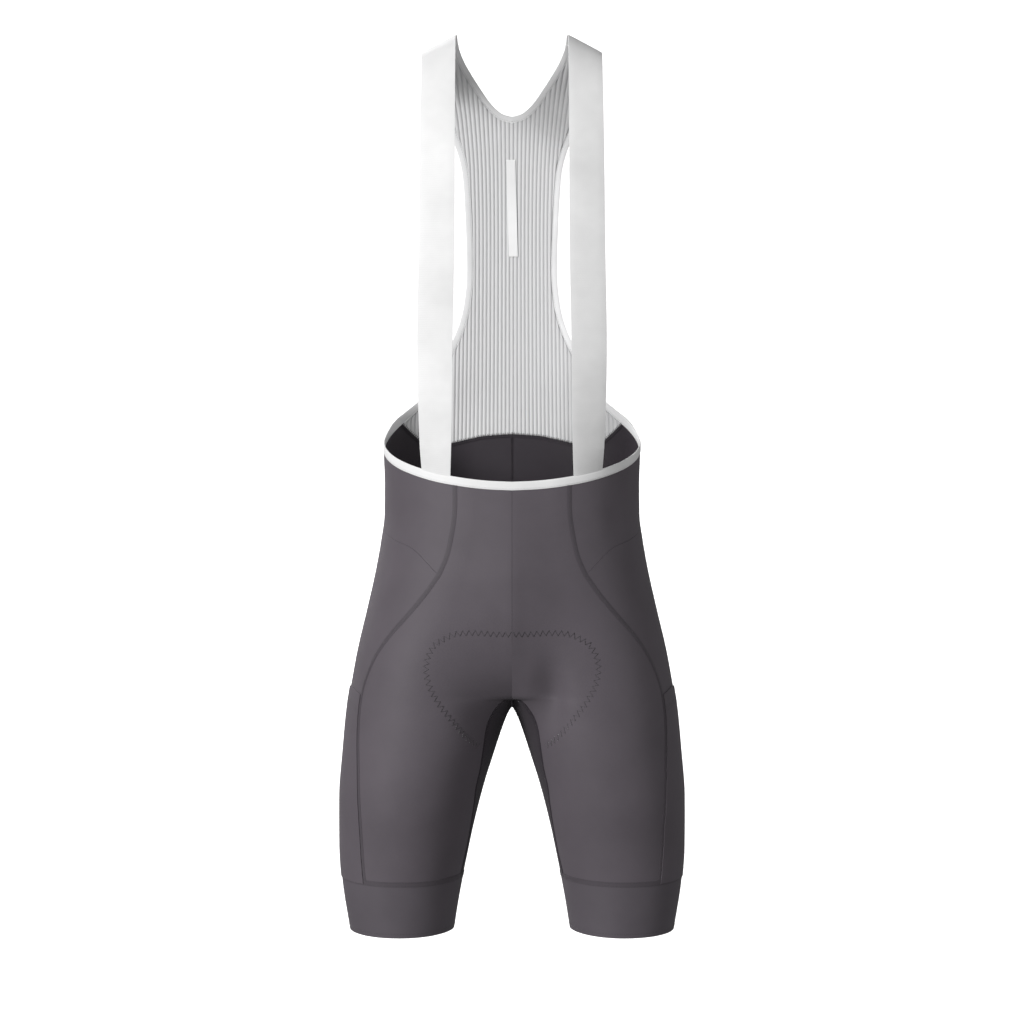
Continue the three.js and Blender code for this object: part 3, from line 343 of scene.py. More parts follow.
# Smooth curves through tables
def column_curve(rows, key, value):
    """A monotone cubic curve through one column of a table."""
    ordered = sorted(rows, key=lambda row: row[key])
    xs = [row[key] for row in ordered]
    ys = [row[value] for row in ordered]
    steps = [(ys[i + 1] - ys[i]) / (xs[i + 1] - xs[i]) for i in range(len(xs) - 1)]
    slopes = [steps[0]]
    for before, after in zip(steps, steps[1:]):
        product = before * after
        slopes.append(2 * product / (before + after) if product > 0 else 0)
    slopes.append(steps[-1])

    def curve(x):
        x = min(max(x, xs[0]), xs[-1])
        i = 0
        while i < len(xs) - 2 and x > xs[i + 1]:
            i += 1
        h = xs[i + 1] - xs[i]
        t = (x - xs[i]) / h
        rise = ys[i] * (1 + 2 * t) * (1 - t) ** 2 + ys[i + 1] * t * t * (3 - 2 * t)
        return rise + h * (slopes[i] * t * (1 - t) ** 2 - slopes[i + 1] * t * t * (1 - t))

    return curve


def curves_of(rows, key):
    return {name: column_curve(rows, key, name) for name in rows[0] if name != key}


body = curves_of(BODY, "z")
front_end = curves_of(FRONT_END, "z")
back_end = curves_of(BACK_END, "z")
inner_leg = curves_of(INNER_LEG, "z")
rib_fan = column_curve(RIB_FAN, "t", "fan")
strap_inner = column_curve(STRAP, "t", "inner")
strap_outer = column_curve(STRAP, "t", "outer")

ROUND_HANDLE = 0.56
END_HANDLE = 0.37


def bezier(p, q, r, s, t):
    u = 1 - t
    return u * u * u * p + 3 * u * u * t * q + 3 * u * t * t * r + t * t * t * s


def clamp(value, low, high):
    return min(max(value, low), high)


def mix(p, q, share):
    return p + (q - p) * share


def shell_point(a, z):
    """Point of the shorts' outer surface on the +X half, in millimetres."""
    part = min(3, int(floor(a)))
    t = a - part
    if part == 0:
        x0, y0 = front_end["x"](z), front_end["y"](z)
        x3, y3 = body["fore_x"](z), body["fore_y"](z)
        reach = END_HANDLE * hypot(x3 - x0, y3 - y0)
        turn = radians(front_end["turn"](z))
        x = bezier(x0, x0 + reach * cos(turn), x3 - reach, x3, t)
        y = bezier(y0, y0 - reach * sin(turn), y3, y3, t)
    elif part == 1:
        x0, y0 = body["fore_x"](z), body["fore_y"](z)
        x3, y3 = body["side_x"](z), body["side_y"](z)
        x = bezier(x0, x0 + ROUND_HANDLE * (x3 - x0), x3, x3, t)
        y = bezier(y0, y0, y3 - ROUND_HANDLE * (y3 - y0), y3, t)
    elif part == 2:
        x0, y0 = body["side_x"](z), body["side_y"](z)
        x3, y3 = body["rear_x"](z), body["rear_y"](z)
        x = bezier(x0, x0, x3 + ROUND_HANDLE * (x0 - x3), x3, t)
        y = bezier(y0, y0 + ROUND_HANDLE * (y3 - y0), y3, y3, t)
    else:
        x0, y0 = body["rear_x"](z), body["rear_y"](z)
        x3, y3 = back_end["x"](z), back_end["y"](z)
        reach = END_HANDLE * hypot(x3 - x0, y3 - y0)
        turn = radians(back_end["turn"](z))
        x = bezier(x0, x0 - reach, x3 + reach * cos(turn), x3, t)
        y = bezier(y0, y0, y3 + reach * sin(turn), y3, t)
    return Vector((x, y, z))


STEP_ROUND = 0.02
STEP_UP = 0.5


def shell_normal(a, z):
    along = shell_point(min(4, a + STEP_ROUND), z) - shell_point(max(0, a - STEP_ROUND), z)
    up = shell_point(a, z + STEP_UP) - shell_point(a, z - STEP_UP)
    return along.cross(up).normalized()


def shell_place(a, z):
    a = clamp(a, 0, 4)
    return shell_point(a, z), shell_normal(a, z)


HALVINGS = 30


def place_at_x(x, z, low, high):
    """The place a where the section at height z has the distance x."""
    rising = shell_point(high, z).x > shell_point(low, z).x
    for _ in range(HALVINGS):
        middle = (low + high) / 2
        if (shell_point(middle, z).x < x) == rising:
            low = middle
        else:
            high = middle
    return (low + high) / 2


def smooth_through(points, per_span):
    """Centripetal Catmull-Rom curve through points, as a dense list."""
    first = points[0] * 2 - points[1]
    last = points[-1] * 2 - points[-2]
    padded = [first, *points, last]
    dense = []
    for p0, p1, p2, p3 in zip(padded, padded[1:], padded[2:], padded[3:]):
        knots = [0.0]
        for p, q in ((p0, p1), (p1, p2), (p2, p3)):
            knots.append(knots[-1] + max((q - p).length, 1e-6) ** 0.5)
        k0, k1, k2, k3 = knots
        for i in range(per_span):
            k = mix(k1, k2, i / per_span)
            a1 = p0 * ((k1 - k) / (k1 - k0)) + p1 * ((k - k0) / (k1 - k0))
            a2 = p1 * ((k2 - k) / (k2 - k1)) + p2 * ((k - k1) / (k2 - k1))
            a3 = p2 * ((k3 - k) / (k3 - k2)) + p3 * ((k - k2) / (k3 - k2))
            b1 = a1 * ((k2 - k) / (k2 - k0)) + a2 * ((k - k0) / (k2 - k0))
            b2 = a2 * ((k3 - k) / (k3 - k1)) + a3 * ((k - k1) / (k3 - k1))
            dense.append(b1 * ((k2 - k) / (k2 - k1)) + b2 * ((k - k1) / (k2 - k1)))
    dense.append(points[-1])
    return dense


def even_steps(samples, points, count):
    """Values from samples at even distances along points."""
    lengths = [0.0]
    for p, q in zip(points, points[1:]):
        lengths.append(lengths[-1] + (q - p).length)
    chosen = []
    i = 1
    for k in range(count + 1):
        target = lengths[-1] * k / count
        while i < len(points) - 1 and lengths[i] < target:
            i += 1
        share = (target - lengths[i - 1]) / max(lengths[i] - lengths[i - 1], 1e-9)
        chosen.append(samples[i - 1] + (samples[i] - samples[i - 1]) * clamp(share, 0, 1))
    return chosen


# Millimetres that one unit of a counts for, where a seam's curve is smoothed
A_SCALE = 60.0
GUIDES_A_SPAN = 24
GUSSET_GUIDES = 90


def shell_seam(places, count):
    """Even steps on the surface along a smooth curve through places (a, z)."""
    guides = [Vector((a * A_SCALE, z)) for a, z in places]
    samples = smooth_through(guides, GUIDES_A_SPAN)
    samples = [Vector((p.x / A_SCALE, p.y)) for p in samples]
    points = [shell_point(clamp(p.x, 0, 4), p.y) for p in samples]
    return [(clamp(p.x, 0, 4), p.y) for p in even_steps(samples, points, count)]


def straight(start, end, count=16):
    return [
        (mix(start[0], end[0], i / count), mix(start[1], end[1], i / count))
        for i in range(count + 1)
    ]


def front_places(rows):
    return [(place_at_x(x, z, 0, 2), z) for x, z in rows]


def steps_of(*names):
    return DETAIL * sum(STEPS[name] for name in names)


def middle_seam(a, top, bottom, step, guides=16):
    """A seam down the place a, the middle of the front or the back and on down the leg."""
    return shell_seam(straight((a, top), (a, bottom), guides), steps_of(step))


# Seams of the +X half, as lists of places (a, z)
centre_front = middle_seam(0, WAIST_SEAM[0]["z"], FRONT_APEX_Z, "centre_front")
gusset_front = middle_seam(0, FRONT_APEX_Z, GRIPPER_Z, "gusset", GUSSET_GUIDES)
gusset_back = middle_seam(4, BACK_APEX_Z, GRIPPER_Z, "gusset", GUSSET_GUIDES)
centre_back = middle_seam(4, BIB_SEAM_BACK[-1]["z"], BACK_APEX_Z, "centre_back")

# Seams that run round the waist: their height is smooth in the distance round it.
WAIST_LEVEL = -440
GIRTH_STEPS_A_UNIT = 20


def waist_girth(a):
    steps = max(1, round(a * GIRTH_STEPS_A_UNIT))
    points = [shell_point(a * i / steps, WAIST_LEVEL) for i in range(steps + 1)]
    return sum((q - p).length for p, q in zip(points, points[1:]))


def height_round_waist(rows):
    girths = [{"girth": waist_girth(row["a"]), "z": row["z"]} for row in rows]
    height = column_curve(girths, "girth", "z")
    return lambda a: height(waist_girth(a))


waist_z = height_round_waist(WAIST_SEAM)
bib_seam_back_z = height_round_waist(BIB_SEAM_BACK)
seam_top_a = place_at_x(FRONT_SEAM_TOP_X, FRONT_SEAM_TOP_Z, 0, 2)
seam_top = (seam_top_a, waist_z(seam_top_a))


def places_round_waist(low, high, height):
    return [(a, height(a)) for a, _ in straight((low, 0), (high, 0), GUIDES_A_SPAN)]


waist_front = shell_seam(places_round_waist(0, seam_top_a, waist_z), steps_of("front_across"))
waist_side = shell_seam(
    places_round_waist(seam_top_a, WAIST_SEAM[-1]["a"], waist_z),
    steps_of("diagonal"),
)
front_upper = shell_seam(
    [seam_top, *front_places(FRONT_SEAM_UPPER)],
    steps_of("front_upper"),
)
front_lower = shell_seam(front_places(FRONT_SEAM_LOWER), steps_of("front_lower"))
diagonal = shell_seam([front_lower[0], *DIAGONAL_SEAM], steps_of("diagonal"))
bib_side = shell_seam(BIB_SEAM_SIDE, steps_of("front_upper"))
bib_back = shell_seam(
    places_round_waist(BIB_SEAM_BACK[0]["a"], 4, bib_seam_back_z),
    steps_of("bib_seam"),
)
gripper_front = shell_seam(
    straight((0, GRIPPER_Z), front_lower[-1]),
    steps_of("front_across"),
)
gripper_back = shell_seam(
    straight(front_lower[-1], (4, GRIPPER_Z)),
    steps_of("diagonal", "bib_seam"),
)


def joined(*seams):
    line = list(seams[0])
    for seam in seams[1:]:
        line.extend(seam[1:])
    return line


def fill_between(top, bottom, left, right):
    """A grid of places that fills the field between four seams."""
    rows = len(left) - 1
    across = len(top) - 1
    grid = []
    for r in range(rows + 1):
        v = r / rows
        line = []
        for c in range(across + 1):
            u = c / across
            place = []
            for k in (0, 1):
                edges = mix(top[c][k], bottom[c][k], v) + mix(left[r][k], right[r][k], u)
                corners = mix(
                    mix(top[0][k], top[across][k], u),
                    mix(bottom[0][k], bottom[across][k], u),
                    v,
                )
                place.append(edges - corners)
            line.append(tuple(place))
        grid.append(line)
    return grid


def shell_sheet(grid):
    """A sheet is a grid of (point, normal), rows from top to bottom."""
    return [[shell_place(a, z) for a, z in line] for line in grid]


def mirrored(sheet):
    return [
        [(Vector((-p.x, p.y, p.z)), Vector((-n.x, n.y, n.z))) for p, n in line]
        for line in sheet
    ]


def both_halves(half):
    """Rows of the -X half, turned about, and then of the +X half."""
    return list(reversed(mirrored(half)[1:])) + half


# Meshes
CLOTH_UV = 0.01
EDGE_THINNING = 0.55
EDGE_SQUARENESS = 7
SHARP_ANGLE = radians(55)


def grid_lengths(sheet):
    """Distances across and down the sheet, for its cloth's UV map."""
    rows = len(sheet)
    across = len(sheet[0])
    middle = sheet[rows // 2]
    over = [0.0]
    for c in range(1, across):
        over.append(over[-1] + (middle[c][0] - middle[c - 1][0]).length)
    down = [0.0]
    column = across // 2
    for r in range(1, rows):
        down.append(down[-1] + (sheet[r][column][0] - sheet[r - 1][column][0]).length)
    return over, down


def relief_at(point):
    """How far the soft swells and hollows move a point of the shorts outward."""
    face = "front" if point.y < 0 else "back"
    total = 0.0
    for swell in RELIEF:
        if swell["face"] == face:
            u = (point.x - swell["x"]) / swell["wide"]
            v = (point.z - swell["z"]) / swell["tall"]
            total += swell["depth"] * exp(-u * u - v * v)
    return total


def lifted(point, normal, offset):
    """A point moved out along its normal, with the relief of the cloth, in metres.

    The relief fades where the cloth turns to the sides or under the crotch.
    """
    return (point + normal * (offset + relief_at(point) * abs(normal.y))) * MM


def edge_profile(share):
    """1 in the middle of a band and less at its two rounded edges."""
    return 1 - EDGE_THINNING * abs(2 * share - 1) ** EDGE_SQUARENESS


def wall_mesh(name, sheet, wall, rise=0.0, loop=False, rounded=False, ribs=None):
    """A thin closed wall: its outer face is out by rise, and it is wall thick.

    rounded thins a band towards both edges. ribs gives each place its height on a rib,
    from 0 in a groove to 1 on a crest.
    """
    rows = len(sheet)
    across = len(sheet[0])
    over, down = grid_lengths(sheet)
    points = []
    places = []
    crests = []
    for outward, height in ((1, OUTER_RIB_HEIGHT), (-1, RIB_HEIGHT)):
        for r, line in enumerate(sheet):
            for c, (point, normal) in enumerate(line):
                half = wall / 2 * (edge_profile(c / (across - 1)) if rounded else 1)
                crest = ribs[r][c] if ribs else 0
                offset = rise - wall / 2 + outward * (half + height * crest)
                points.append(lifted(point, normal, offset))
                places.append((over[c] * CLOTH_UV, down[r] * CLOTH_UV))
                crests.append(crest)

    def index(side, r, c):
        return side * rows * across + r * across + c % across

    faces = []
    last = across if loop else across - 1
    for r in range(rows - 1):
        for c in range(last):
            corners = ((r, c), (r + 1, c), (r + 1, c + 1), (r, c + 1))
            faces.append([index(0, *corner) for corner in corners])
            faces.append([index(1, *corner) for corner in reversed(corners)])
        if not loop:
            end = across - 1
            faces.append([index(0, r, 0), index(1, r, 0), index(1, r + 1, 0), index(0, r + 1, 0)])
            faces.append(
                [index(0, r, end), index(0, r + 1, end), index(1, r + 1, end), index(1, r, end)]
            )
    for c in range(last):
        end = rows - 1
        faces.append([index(0, 0, c), index(0, 0, c + 1), index(1, 0, c + 1), index(1, 0, c)])
        faces.append(
            [index(0, end, c), index(1, end, c), index(1, end, c + 1), index(0, end, c + 1)]
        )
    return finish_mesh(name, points, faces, places, crests)


def finish_mesh(name, points, faces, places, crests):
    mesh = bpy.data.meshes.new(name)
    mesh.from_pydata([tuple(p) for p in points], [], faces)
    layer = mesh.uv_layers.new(name="cloth")
    for corner in mesh.loops:
        layer.data[corner.index].uv = places[corner.vertex_index]
    mesh.attributes.new("crest", "FLOAT", "POINT").data.foreach_set("value", crests)
    mesh.update()
    if signed_volume(mesh) < 0:
        mesh.flip_normals()
    mesh.shade_smooth()
    mesh.set_sharp_from_angle(angle=SHARP_ANGLE)
    piece = bpy.data.objects.new(name, mesh)
    bpy.context.scene.collection.objects.link(piece)
    return piece


def signed_volume(mesh):
    volume = 0.0
    mesh.calc_loop_triangles()
    for triangle in mesh.loop_triangles:
        p, q, r = (mesh.vertices[i].co for i in triangle.vertices)
        volume += p.dot(q.cross(r)) / 6
    return volume


# Materials
def shader(name, colour, roughness, **sockets):
    material = bpy.data.materials.new(name)
    material.use_nodes = True
    nodes = material.node_tree.nodes
    surface = nodes["Principled BSDF"]
    surface.inputs["Base Color"].default_value = (*colour, 1)
    surface.inputs["Roughness"].default_value = roughness
    for socket, value in sockets.items():
        surface.inputs[socket.replace("_", " ")].default_value = value
    return material, nodes, material.node_tree.links, surface


def add_node(nodes, kind, **values):
    """A new node with values for its named sockets."""
    node = nodes.new(kind)
    for name, value in values.items():
        node.inputs[name].default_value = value
    return node


def tint_by_noise(nodes, links, surface, colour, scale, amount):
    """Varies the colour softly over the piece."""
    place = nodes.new("ShaderNodeTexCoord")
    noise = add_node(nodes, "ShaderNodeTexNoise", Scale=scale, Detail=3.0, Roughness=0.6)
    ramp = nodes.new("ShaderNodeValToRGB")
    darker, lighter = ramp.color_ramp.elements
    darker.position = 0.3
    darker.color = (*[c * (1 - amount) for c in colour], 1)
    lighter.position = 0.7
    lighter.color = (*[min(1, c * (1 + amount)) for c in colour], 1)
    links.new(place.outputs["Object"], noise.inputs["Vector"])
    links.new(noise.outputs["Fac"], ramp.inputs["Fac"])
    links.new(ramp.outputs["Color"], surface.inputs["Base Color"])
    return place


KNIT_DEPTH = 0.0003


def knit_bump(nodes, links, surface, place, across, down, strength):
    """Rows and wales of a fine knit, as two waves over the cloth's own UV map."""
    waves = []
    for scale, direction in ((across, "X"), (down, "Y")):
        wave = add_node(nodes, "ShaderNodeTexWave", Scale=scale, Distortion=0.6, Detail=1.0)
        wave.wave_type = "BANDS"
        wave.bands_direction = direction
        links.new(place.outputs["UV"], wave.inputs["Vector"])
        waves.append(wave)
    blend = nodes.new("ShaderNodeMath")
    blend.operation = "MULTIPLY"
    links.new(waves[0].outputs["Fac"], blend.inputs[0])
    links.new(waves[1].outputs["Fac"], blend.inputs[1])
    bump = add_node(nodes, "ShaderNodeBump", Strength=strength, Distance=KNIT_DEPTH)
    links.new(blend.outputs["Value"], bump.inputs["Height"])
    links.new(bump.outputs["Normal"], surface.inputs["Normal"])


def make_knit(name, colour, roughness=0.62, sheen=0.06, across=45.0, down=36.0, strength=0.2):
    material, nodes, links, surface = shader(name, colour, roughness)
    surface.inputs["Sheen Weight"].default_value = sheen
    surface.inputs["Sheen Roughness"].default_value = 0.5
    surface.inputs["Specular IOR Level"].default_value = 0.3
    place = tint_by_noise(nodes, links, surface, colour, scale=14.0, amount=0.07)
    knit_bump(nodes, links, surface, place, across, down, strength)
    return material


def make_ribbed_knit(name, crest_colour, groove_colour):
    """Rib knit, darker in the grooves, where the ribs shade them."""
    material = make_knit(name, crest_colour, across=60, down=45)
    nodes = material.node_tree.nodes
    links = material.node_tree.links
    surface = nodes["Principled BSDF"]
    crest = nodes.new("ShaderNodeAttribute")
    crest.attribute_name = "crest"
    ramp = nodes.new("ShaderNodeValToRGB")
    groove, top = ramp.color_ramp.elements
    groove.position = 0.2
    groove.color = (*groove_colour, 1)
    top.position = 0.75
    top.color = (*crest_colour, 1)
    links.new(crest.outputs["Fac"], ramp.inputs["Fac"])
    links.new(ramp.outputs["Color"], surface.inputs["Base Color"])
    return material


dark_knit = make_knit("dark_elastane_knit", (0.108, 0.094, 0.109))
# The inner faces take a dark copy of the knit, about a third as bright: its darkness is painted
# shade inside the garment.
inside_knit_painted_shade = make_knit("inside_of_the_knit_painted_shade", (0.034, 0.028, 0.035), sheen=0.02)
gusset_knit = make_knit("gusset_knit", (0.05, 0.043, 0.051), sheen=0.04)
gripper_knit = make_knit("gripper_knit", (0.1, 0.088, 0.102), across=30, down=45)
seam_knit = make_knit("seam_tape_knit", (0.082, 0.071, 0.083), sheen=0.04)
white_elastic = make_knit("white_elastic", (0.89, 0.89, 0.89), across=32, down=14, strength=0.3)
band_knit = make_knit("plain_edge_knit", (0.87, 0.87, 0.875))
ribbed_knit = make_ribbed_knit("ribbed_knit", (0.7, 0.7, 0.705), (0.56, 0.56, 0.57))
label_satin = make_knit("label_satin", (0.92, 0.92, 0.92), roughness=0.4, across=40, down=40)


def make_thread(name, colour):
    """Sewing thread: a twist of fibres with a soft sheen."""
    material, nodes, links, surface = shader(name, colour, 0.55, Sheen_Weight=0.3)
    place = tint_by_noise(nodes, links, surface, colour, scale=900.0, amount=0.15)
    noise = add_node(nodes, "ShaderNodeTexNoise", Scale=2600.0, Detail=2.0)
    bump = add_node(nodes, "ShaderNodeBump", Strength=0.4, Distance=0.0001)
    links.new(place.outputs["Object"], noise.inputs["Vector"])
    links.new(noise.outputs["Fac"], bump.inputs["Height"])
    links.new(bump.outputs["Normal"], surface.inputs["Normal"])
    return material


dark_thread = make_thread("dark_thread", (0.04, 0.035, 0.042))
soft_thread = make_thread("soft_dark_thread", (0.07, 0.062, 0.072))
grey_thread = make_thread("grey_thread", (0.5, 0.5, 0.51))
white_thread = make_thread("white_thread", (0.75, 0.75, 0.76))

# Cut pieces of cloth, and the sewing on each
sheets = {}


def dress(piece, material, node=None, inside=None):
    """Puts a piece in its place in the garment; inside is its inner face's material, here always
    the dark copy of the knit whose darkness is painted shade.
    """
    piece.data.materials.append(material)
    if inside:
        piece.data.materials.append(inside)
        first_inner = len(piece.data.vertices) // 2
        for face in piece.data.polygons:
            face.material_index = int(min(face.vertices) >= first_inner)
    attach(piece, "root")
    if node:
        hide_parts(node)


def cloth(piece, material, node, flat, area=None, inside=None):
    """A cut piece of the garment, with the flat size it was cut to, in metres."""
    dress(piece, material, node, inside)
    sheets[node] = {"piece": piece, "flat": flat, "area": area, "sewing": []}


def sewing(piece, material, node):
    """A seam, tape or row of stitches on the piece of cloth that replaces the node."""
    if material:
        dress(piece, material)
    else:
        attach(piece, "root")
    sheets[node]["sewing"].append(piece)


SIDES = (("right", lambda sheet: sheet), ("left", mirrored))


def draw_in(sheet, edges, amount=PANEL_GAP):
    """Draws chosen edges of a sheet in, square to each edge."""
    rows = len(sheet) - 1
    across = len(sheet[0]) - 1

    def at(r, c):
        return sheet[clamp(r, 0, rows)][clamp(c, 0, across)][0]

    drawn = []
    for r, line in enumerate(sheet):
        new_line = []
        for c, (point, normal) in enumerate(line):
            turns = []
            if "left" in edges and c == 0:
                turns.append((at(r - 1, c), at(r + 1, c), at(r, c + 1)))
            if "right" in edges and c == across:
                turns.append((at(r - 1, c), at(r + 1, c), at(r, c - 1)))
            if "top" in edges and r == 0:
                turns.append((at(r, c - 1), at(r, c + 1), at(r + 1, c)))
            if "bottom" in edges and r == rows:
                turns.append((at(r, c - 1), at(r, c + 1), at(r - 1, c)))
            shift = Vector((0, 0, 0))
            for before, after, inside in turns:
                move = (after - before).cross(normal).normalized()
                shift += move if (inside - point).dot(move) > 0 else -move
            new_line.append((point + shift * amount, normal))
        drawn.append(new_line)
    return drawn


ALL_EDGES = ("left", "right", "top", "bottom")


# Panels of the shorts
back_grid = fill_between(
    joined(diagonal, bib_back),
    gripper_back,
    front_lower,
    joined(centre_back, gusset_back),
)


def make_panels():
    front = fill_between(
        waist_front,
        gripper_front,
        joined(centre_front, gusset_front),
        joined(front_upper, front_lower),
    )
    hip = fill_between(waist_side, diagonal, front_upper, bib_side)
    panels = (
        ("front_panel", front, (0.175, 0.43), 0.053),
        ("hip_panel", hip, (0.21, 0.17), 0.0135),
        ("back_panel", back_grid, (0.33, 0.48), 0.1),
    )
    for name, grid, flat, area in panels:
        sheet = draw_in(shell_sheet(grid), ALL_EDGES)
        for side, turned in SIDES:
            piece = wall_mesh(f"{name}_cloth_{side}", turned(sheet), KNIT_WALL)
            cloth(piece, dark_knit, f"{name}_{side}", flat, area, inside_knit_painted_shade)


POCKET_INSET = 0.9
POCKET_RISE = 0.25


def make_pockets():
    first_row = steps_of("pocket_top")
    last_column = steps_of("pocket_across")
    grid = [line[: last_column + 1] for line in back_grid[first_row:]]
    sheet = draw_in(shell_sheet(grid), ("left", "top", "bottom"), POCKET_INSET)
    for side, turned in SIDES:
        name = f"thigh_pocket_cloth_{side}"
        piece = wall_mesh(name, turned(sheet), POCKET_WALL, POCKET_RISE + POCKET_WALL)
        cloth(piece, dark_knit, f"thigh_pocket_{side}", (0.18, 0.23), 0.036)


# Gusset and leg grippers
APEX_SLOPE = 0.7
APEX_REACH = 0.01
GUSSET_SAG = 12
GUSSET_FIRST_DROP = 2
GUSSET_DROP_SHARE = 0.1
ARC_STEP = 0.02


def inner_arc(front_place, back_place, middle, share):
    """Across the inner leg, from the gusset's front seam to its back seam."""
    start = shell_point(*front_place)
    end = shell_point(*back_place)
    first = share < 0.5
    begin, finish = (start, middle) if first else (middle, end)
    length = abs(finish.y - begin.y)
    leave = Vector((0, length, 0))
    arrive = Vector((0, length, 0))
    if first:
        angle = radians(front_end["turn"](front_place[1]))
        apex = front_place[1] > FRONT_APEX_Z - APEX_REACH
        outward, drop = (0, APEX_SLOPE) if apex else (cos(angle), 0)
        leave = Vector((-outward, sin(angle), -drop)) * length
    else:
        angle = radians(back_end["turn"](back_place[1]))
        apex = back_place[1] > BACK_APEX_Z - APEX_REACH
        outward, drop = (0, APEX_SLOPE) if apex else (cos(angle), 0)
        arrive = Vector((outward, sin(angle), drop)) * length
    t = share * 2 if first else share * 2 - 1
    point = begin * ((1 + 2 * t) * (1 - t) ** 2) + finish * (t * t * (3 - 2 * t))
    return point + leave * (t * (1 - t) ** 2) - arrive * (t * t * (1 - t))


def gusset_rows():
    rows = []
    count = len(gusset_front) - 1
    across = steps_of("gusset_across")
    for r, (front_place, back_place) in enumerate(zip(gusset_front, gusset_back)):
        share = r / count
        level = (front_place[1] + back_place[1]) / 2
        first_drop = clamp(share / GUSSET_DROP_SHARE, 0, 1) * GUSSET_FIRST_DROP
        z = min(level - GUSSET_SAG * (1 - share), CROTCH_Z - first_drop)
        z = max(z, GRIPPER_Z)
        middle = Vector((inner_leg["x"](z), inner_leg["y"](z), z))
        rows.append([
            inner_arc(front_place, back_place, middle, c / across) for c in range(across + 1)
        ])
    return rows


def point_normals(points, outside):
    """Normals of a grid of points from its own rows and columns."""
    rows = len(points) - 1
    across = len(points[0]) - 1
    sheet = []
    for r, line in enumerate(points):
        new_line = []
        for c, point in enumerate(line):
            along = points[r][min(c + 1, across)] - points[r][max(c - 1, 0)]
            down = points[min(r + 1, rows)][c] - points[max(r - 1, 0)][c]
            normal = along.cross(down).normalized()
            if normal.dot(outside(point)) < 0:
                normal = -normal
            new_line.append((point, normal))
        sheet.append(new_line)
    return sheet


def make_gusset():
    half = gusset_rows()
    turned = [[Vector((-p.x, p.y, p.z)) for p in line] for line in reversed(half[1:])]
    sheet = point_normals(
        turned + half,
        lambda p: Vector((-2.0 if p.x > 0 else 2.0, 0, -1)),
    )
    piece = wall_mesh("gusset_cloth", draw_in(sheet, ALL_EDGES), KNIT_WALL)
    cloth(piece, gusset_knit, "gusset", (0.145, 0.44), 0.035, inside_knit_painted_shade)


def gripper_sheet(top, bottom, rows):
    ring = joined(gripper_front, gripper_back)
    across = steps_of("gusset_across")
    sheet = []
    for r in range(rows + 1):
        z = mix(top, bottom, r / rows)
        line = [(shell_point(a, z), shell_normal(a, z)) for a, _ in ring]
        middle = Vector((inner_leg["x"](z), inner_leg["y"](z), z))
        for c in range(across - 1, 0, -1):
            share = c / across
            before = inner_arc((0, z), (4, z), middle, share - ARC_STEP)
            after = inner_arc((0, z), (4, z), middle, share + ARC_STEP)
            normal = Vector((0, 0, 1)).cross(after - before).normalized()
            line.append((inner_arc((0, z), (4, z), middle, share), normal))
        sheet.append(line)
    return sheet


GRIPPER_ROWS = 12
GRIPPER_RISE = 0.2
GRIPPER_GAP = 0.1
HEM_INSET = 0.3
GRIPPER_SEAM_TOP = GRIPPER_Z + 4.6
GRIPPER_SEAM_FOOT = GRIPPER_Z - 0.6
GRIPPER_TAPE_WALL = 0.7
GRIPPER_TAPE_RISE = 0.5


def make_grippers():
    sheet = gripper_sheet(GRIPPER_Z - GRIPPER_GAP, HEM_Z + HEM_INSET, GRIPPER_ROWS)
    seam = gripper_sheet(GRIPPER_SEAM_TOP, GRIPPER_SEAM_FOOT, TAPE_ACROSS)
    for side, turned in SIDES:
        node = f"leg_gripper_{side}"
        name = f"leg_gripper_cloth_{side}"
        piece = wall_mesh(name, turned(sheet), GRIPPER_WALL, GRIPPER_RISE, loop=True)
        cloth(piece, gripper_knit, node, (0.37, 0.055), inside=inside_knit_painted_shade)
        name = f"gripper_seam_tape_{side}"
        tape = wall_mesh(name, turned(seam), GRIPPER_TAPE_WALL, GRIPPER_TAPE_RISE, loop=True)
        sewing(tape, seam_knit, node)


# Waist binding
BINDING_ACROSS = 6
BINDING_RISE = 0.5
waist_seam = joined(waist_front, waist_side)


def risen_waist(width):
    """The waist seam as (low point, high point, normal), width apart on the surface."""
    line = []
    for i, (a, z) in enumerate(waist_seam):
        before = shell_point(*waist_seam[max(0, i - 1)])
        after = shell_point(*waist_seam[min(len(waist_seam) - 1, i + 1)])
        along = Vector((1, 0, 0)) if i == 0 else after - before
        point, normal = shell_place(a, z)
        up = along.cross(normal).normalized()
        up = up if up.z > 0 else -up
        line.append((point, point + up * width, normal))
    return line


waist_line = risen_waist(BINDING_WIDTH)


def make_waist_binding():
    half = [
        [(high.lerp(low, k / BINDING_ACROSS), normal) for k in range(BINDING_ACROSS + 1)]
        for low, high, normal in waist_line
    ]
    sheet = draw_in(both_halves(half), ("top", "bottom", "right"))
    piece = wall_mesh("waist_binding_cloth", sheet, BINDING_WALL, BINDING_RISE, rounded=True)
    cloth(piece, white_elastic, "waist_binding", (0.44, 0.0115), 0.0045)


# Upper part, over the back, the shoulders and the chest
def path_curve(name):
    values = [row[name] for row in PATH]

    def curve(t):
        t = clamp(t, 0, len(values) - 1)
        i = min(int(t), len(values) - 2)
        u = t - i
        p1, p2 = values[i], values[i + 1]
        p0 = values[i - 1] if i > 0 else 2 * p1 - p2
        p3 = values[i + 2] if i + 2 < len(values) else 2 * p2 - p1
        m1, m2 = (p2 - p0) / 2, (p3 - p1) / 2
        rise = p1 * (1 + 2 * u) * (1 - u) ** 2 + p2 * u * u * (3 - 2 * u)
        return rise + m1 * u * (1 - u) ** 2 - m2 * u * u * (1 - u)

    return curve


path = {name: path_curve(name) for name in ("y", "z", "drop", "bow")}


STEP_ALONG = 0.05
SIDE_MARGIN = 0.5
UPPER_GUIDES_A_SPAN = 16


def smooth_step(value, low, high):
    t = clamp((value - low) / (high - low), 0, 1)
    return t * t * (3 - 2 * t)


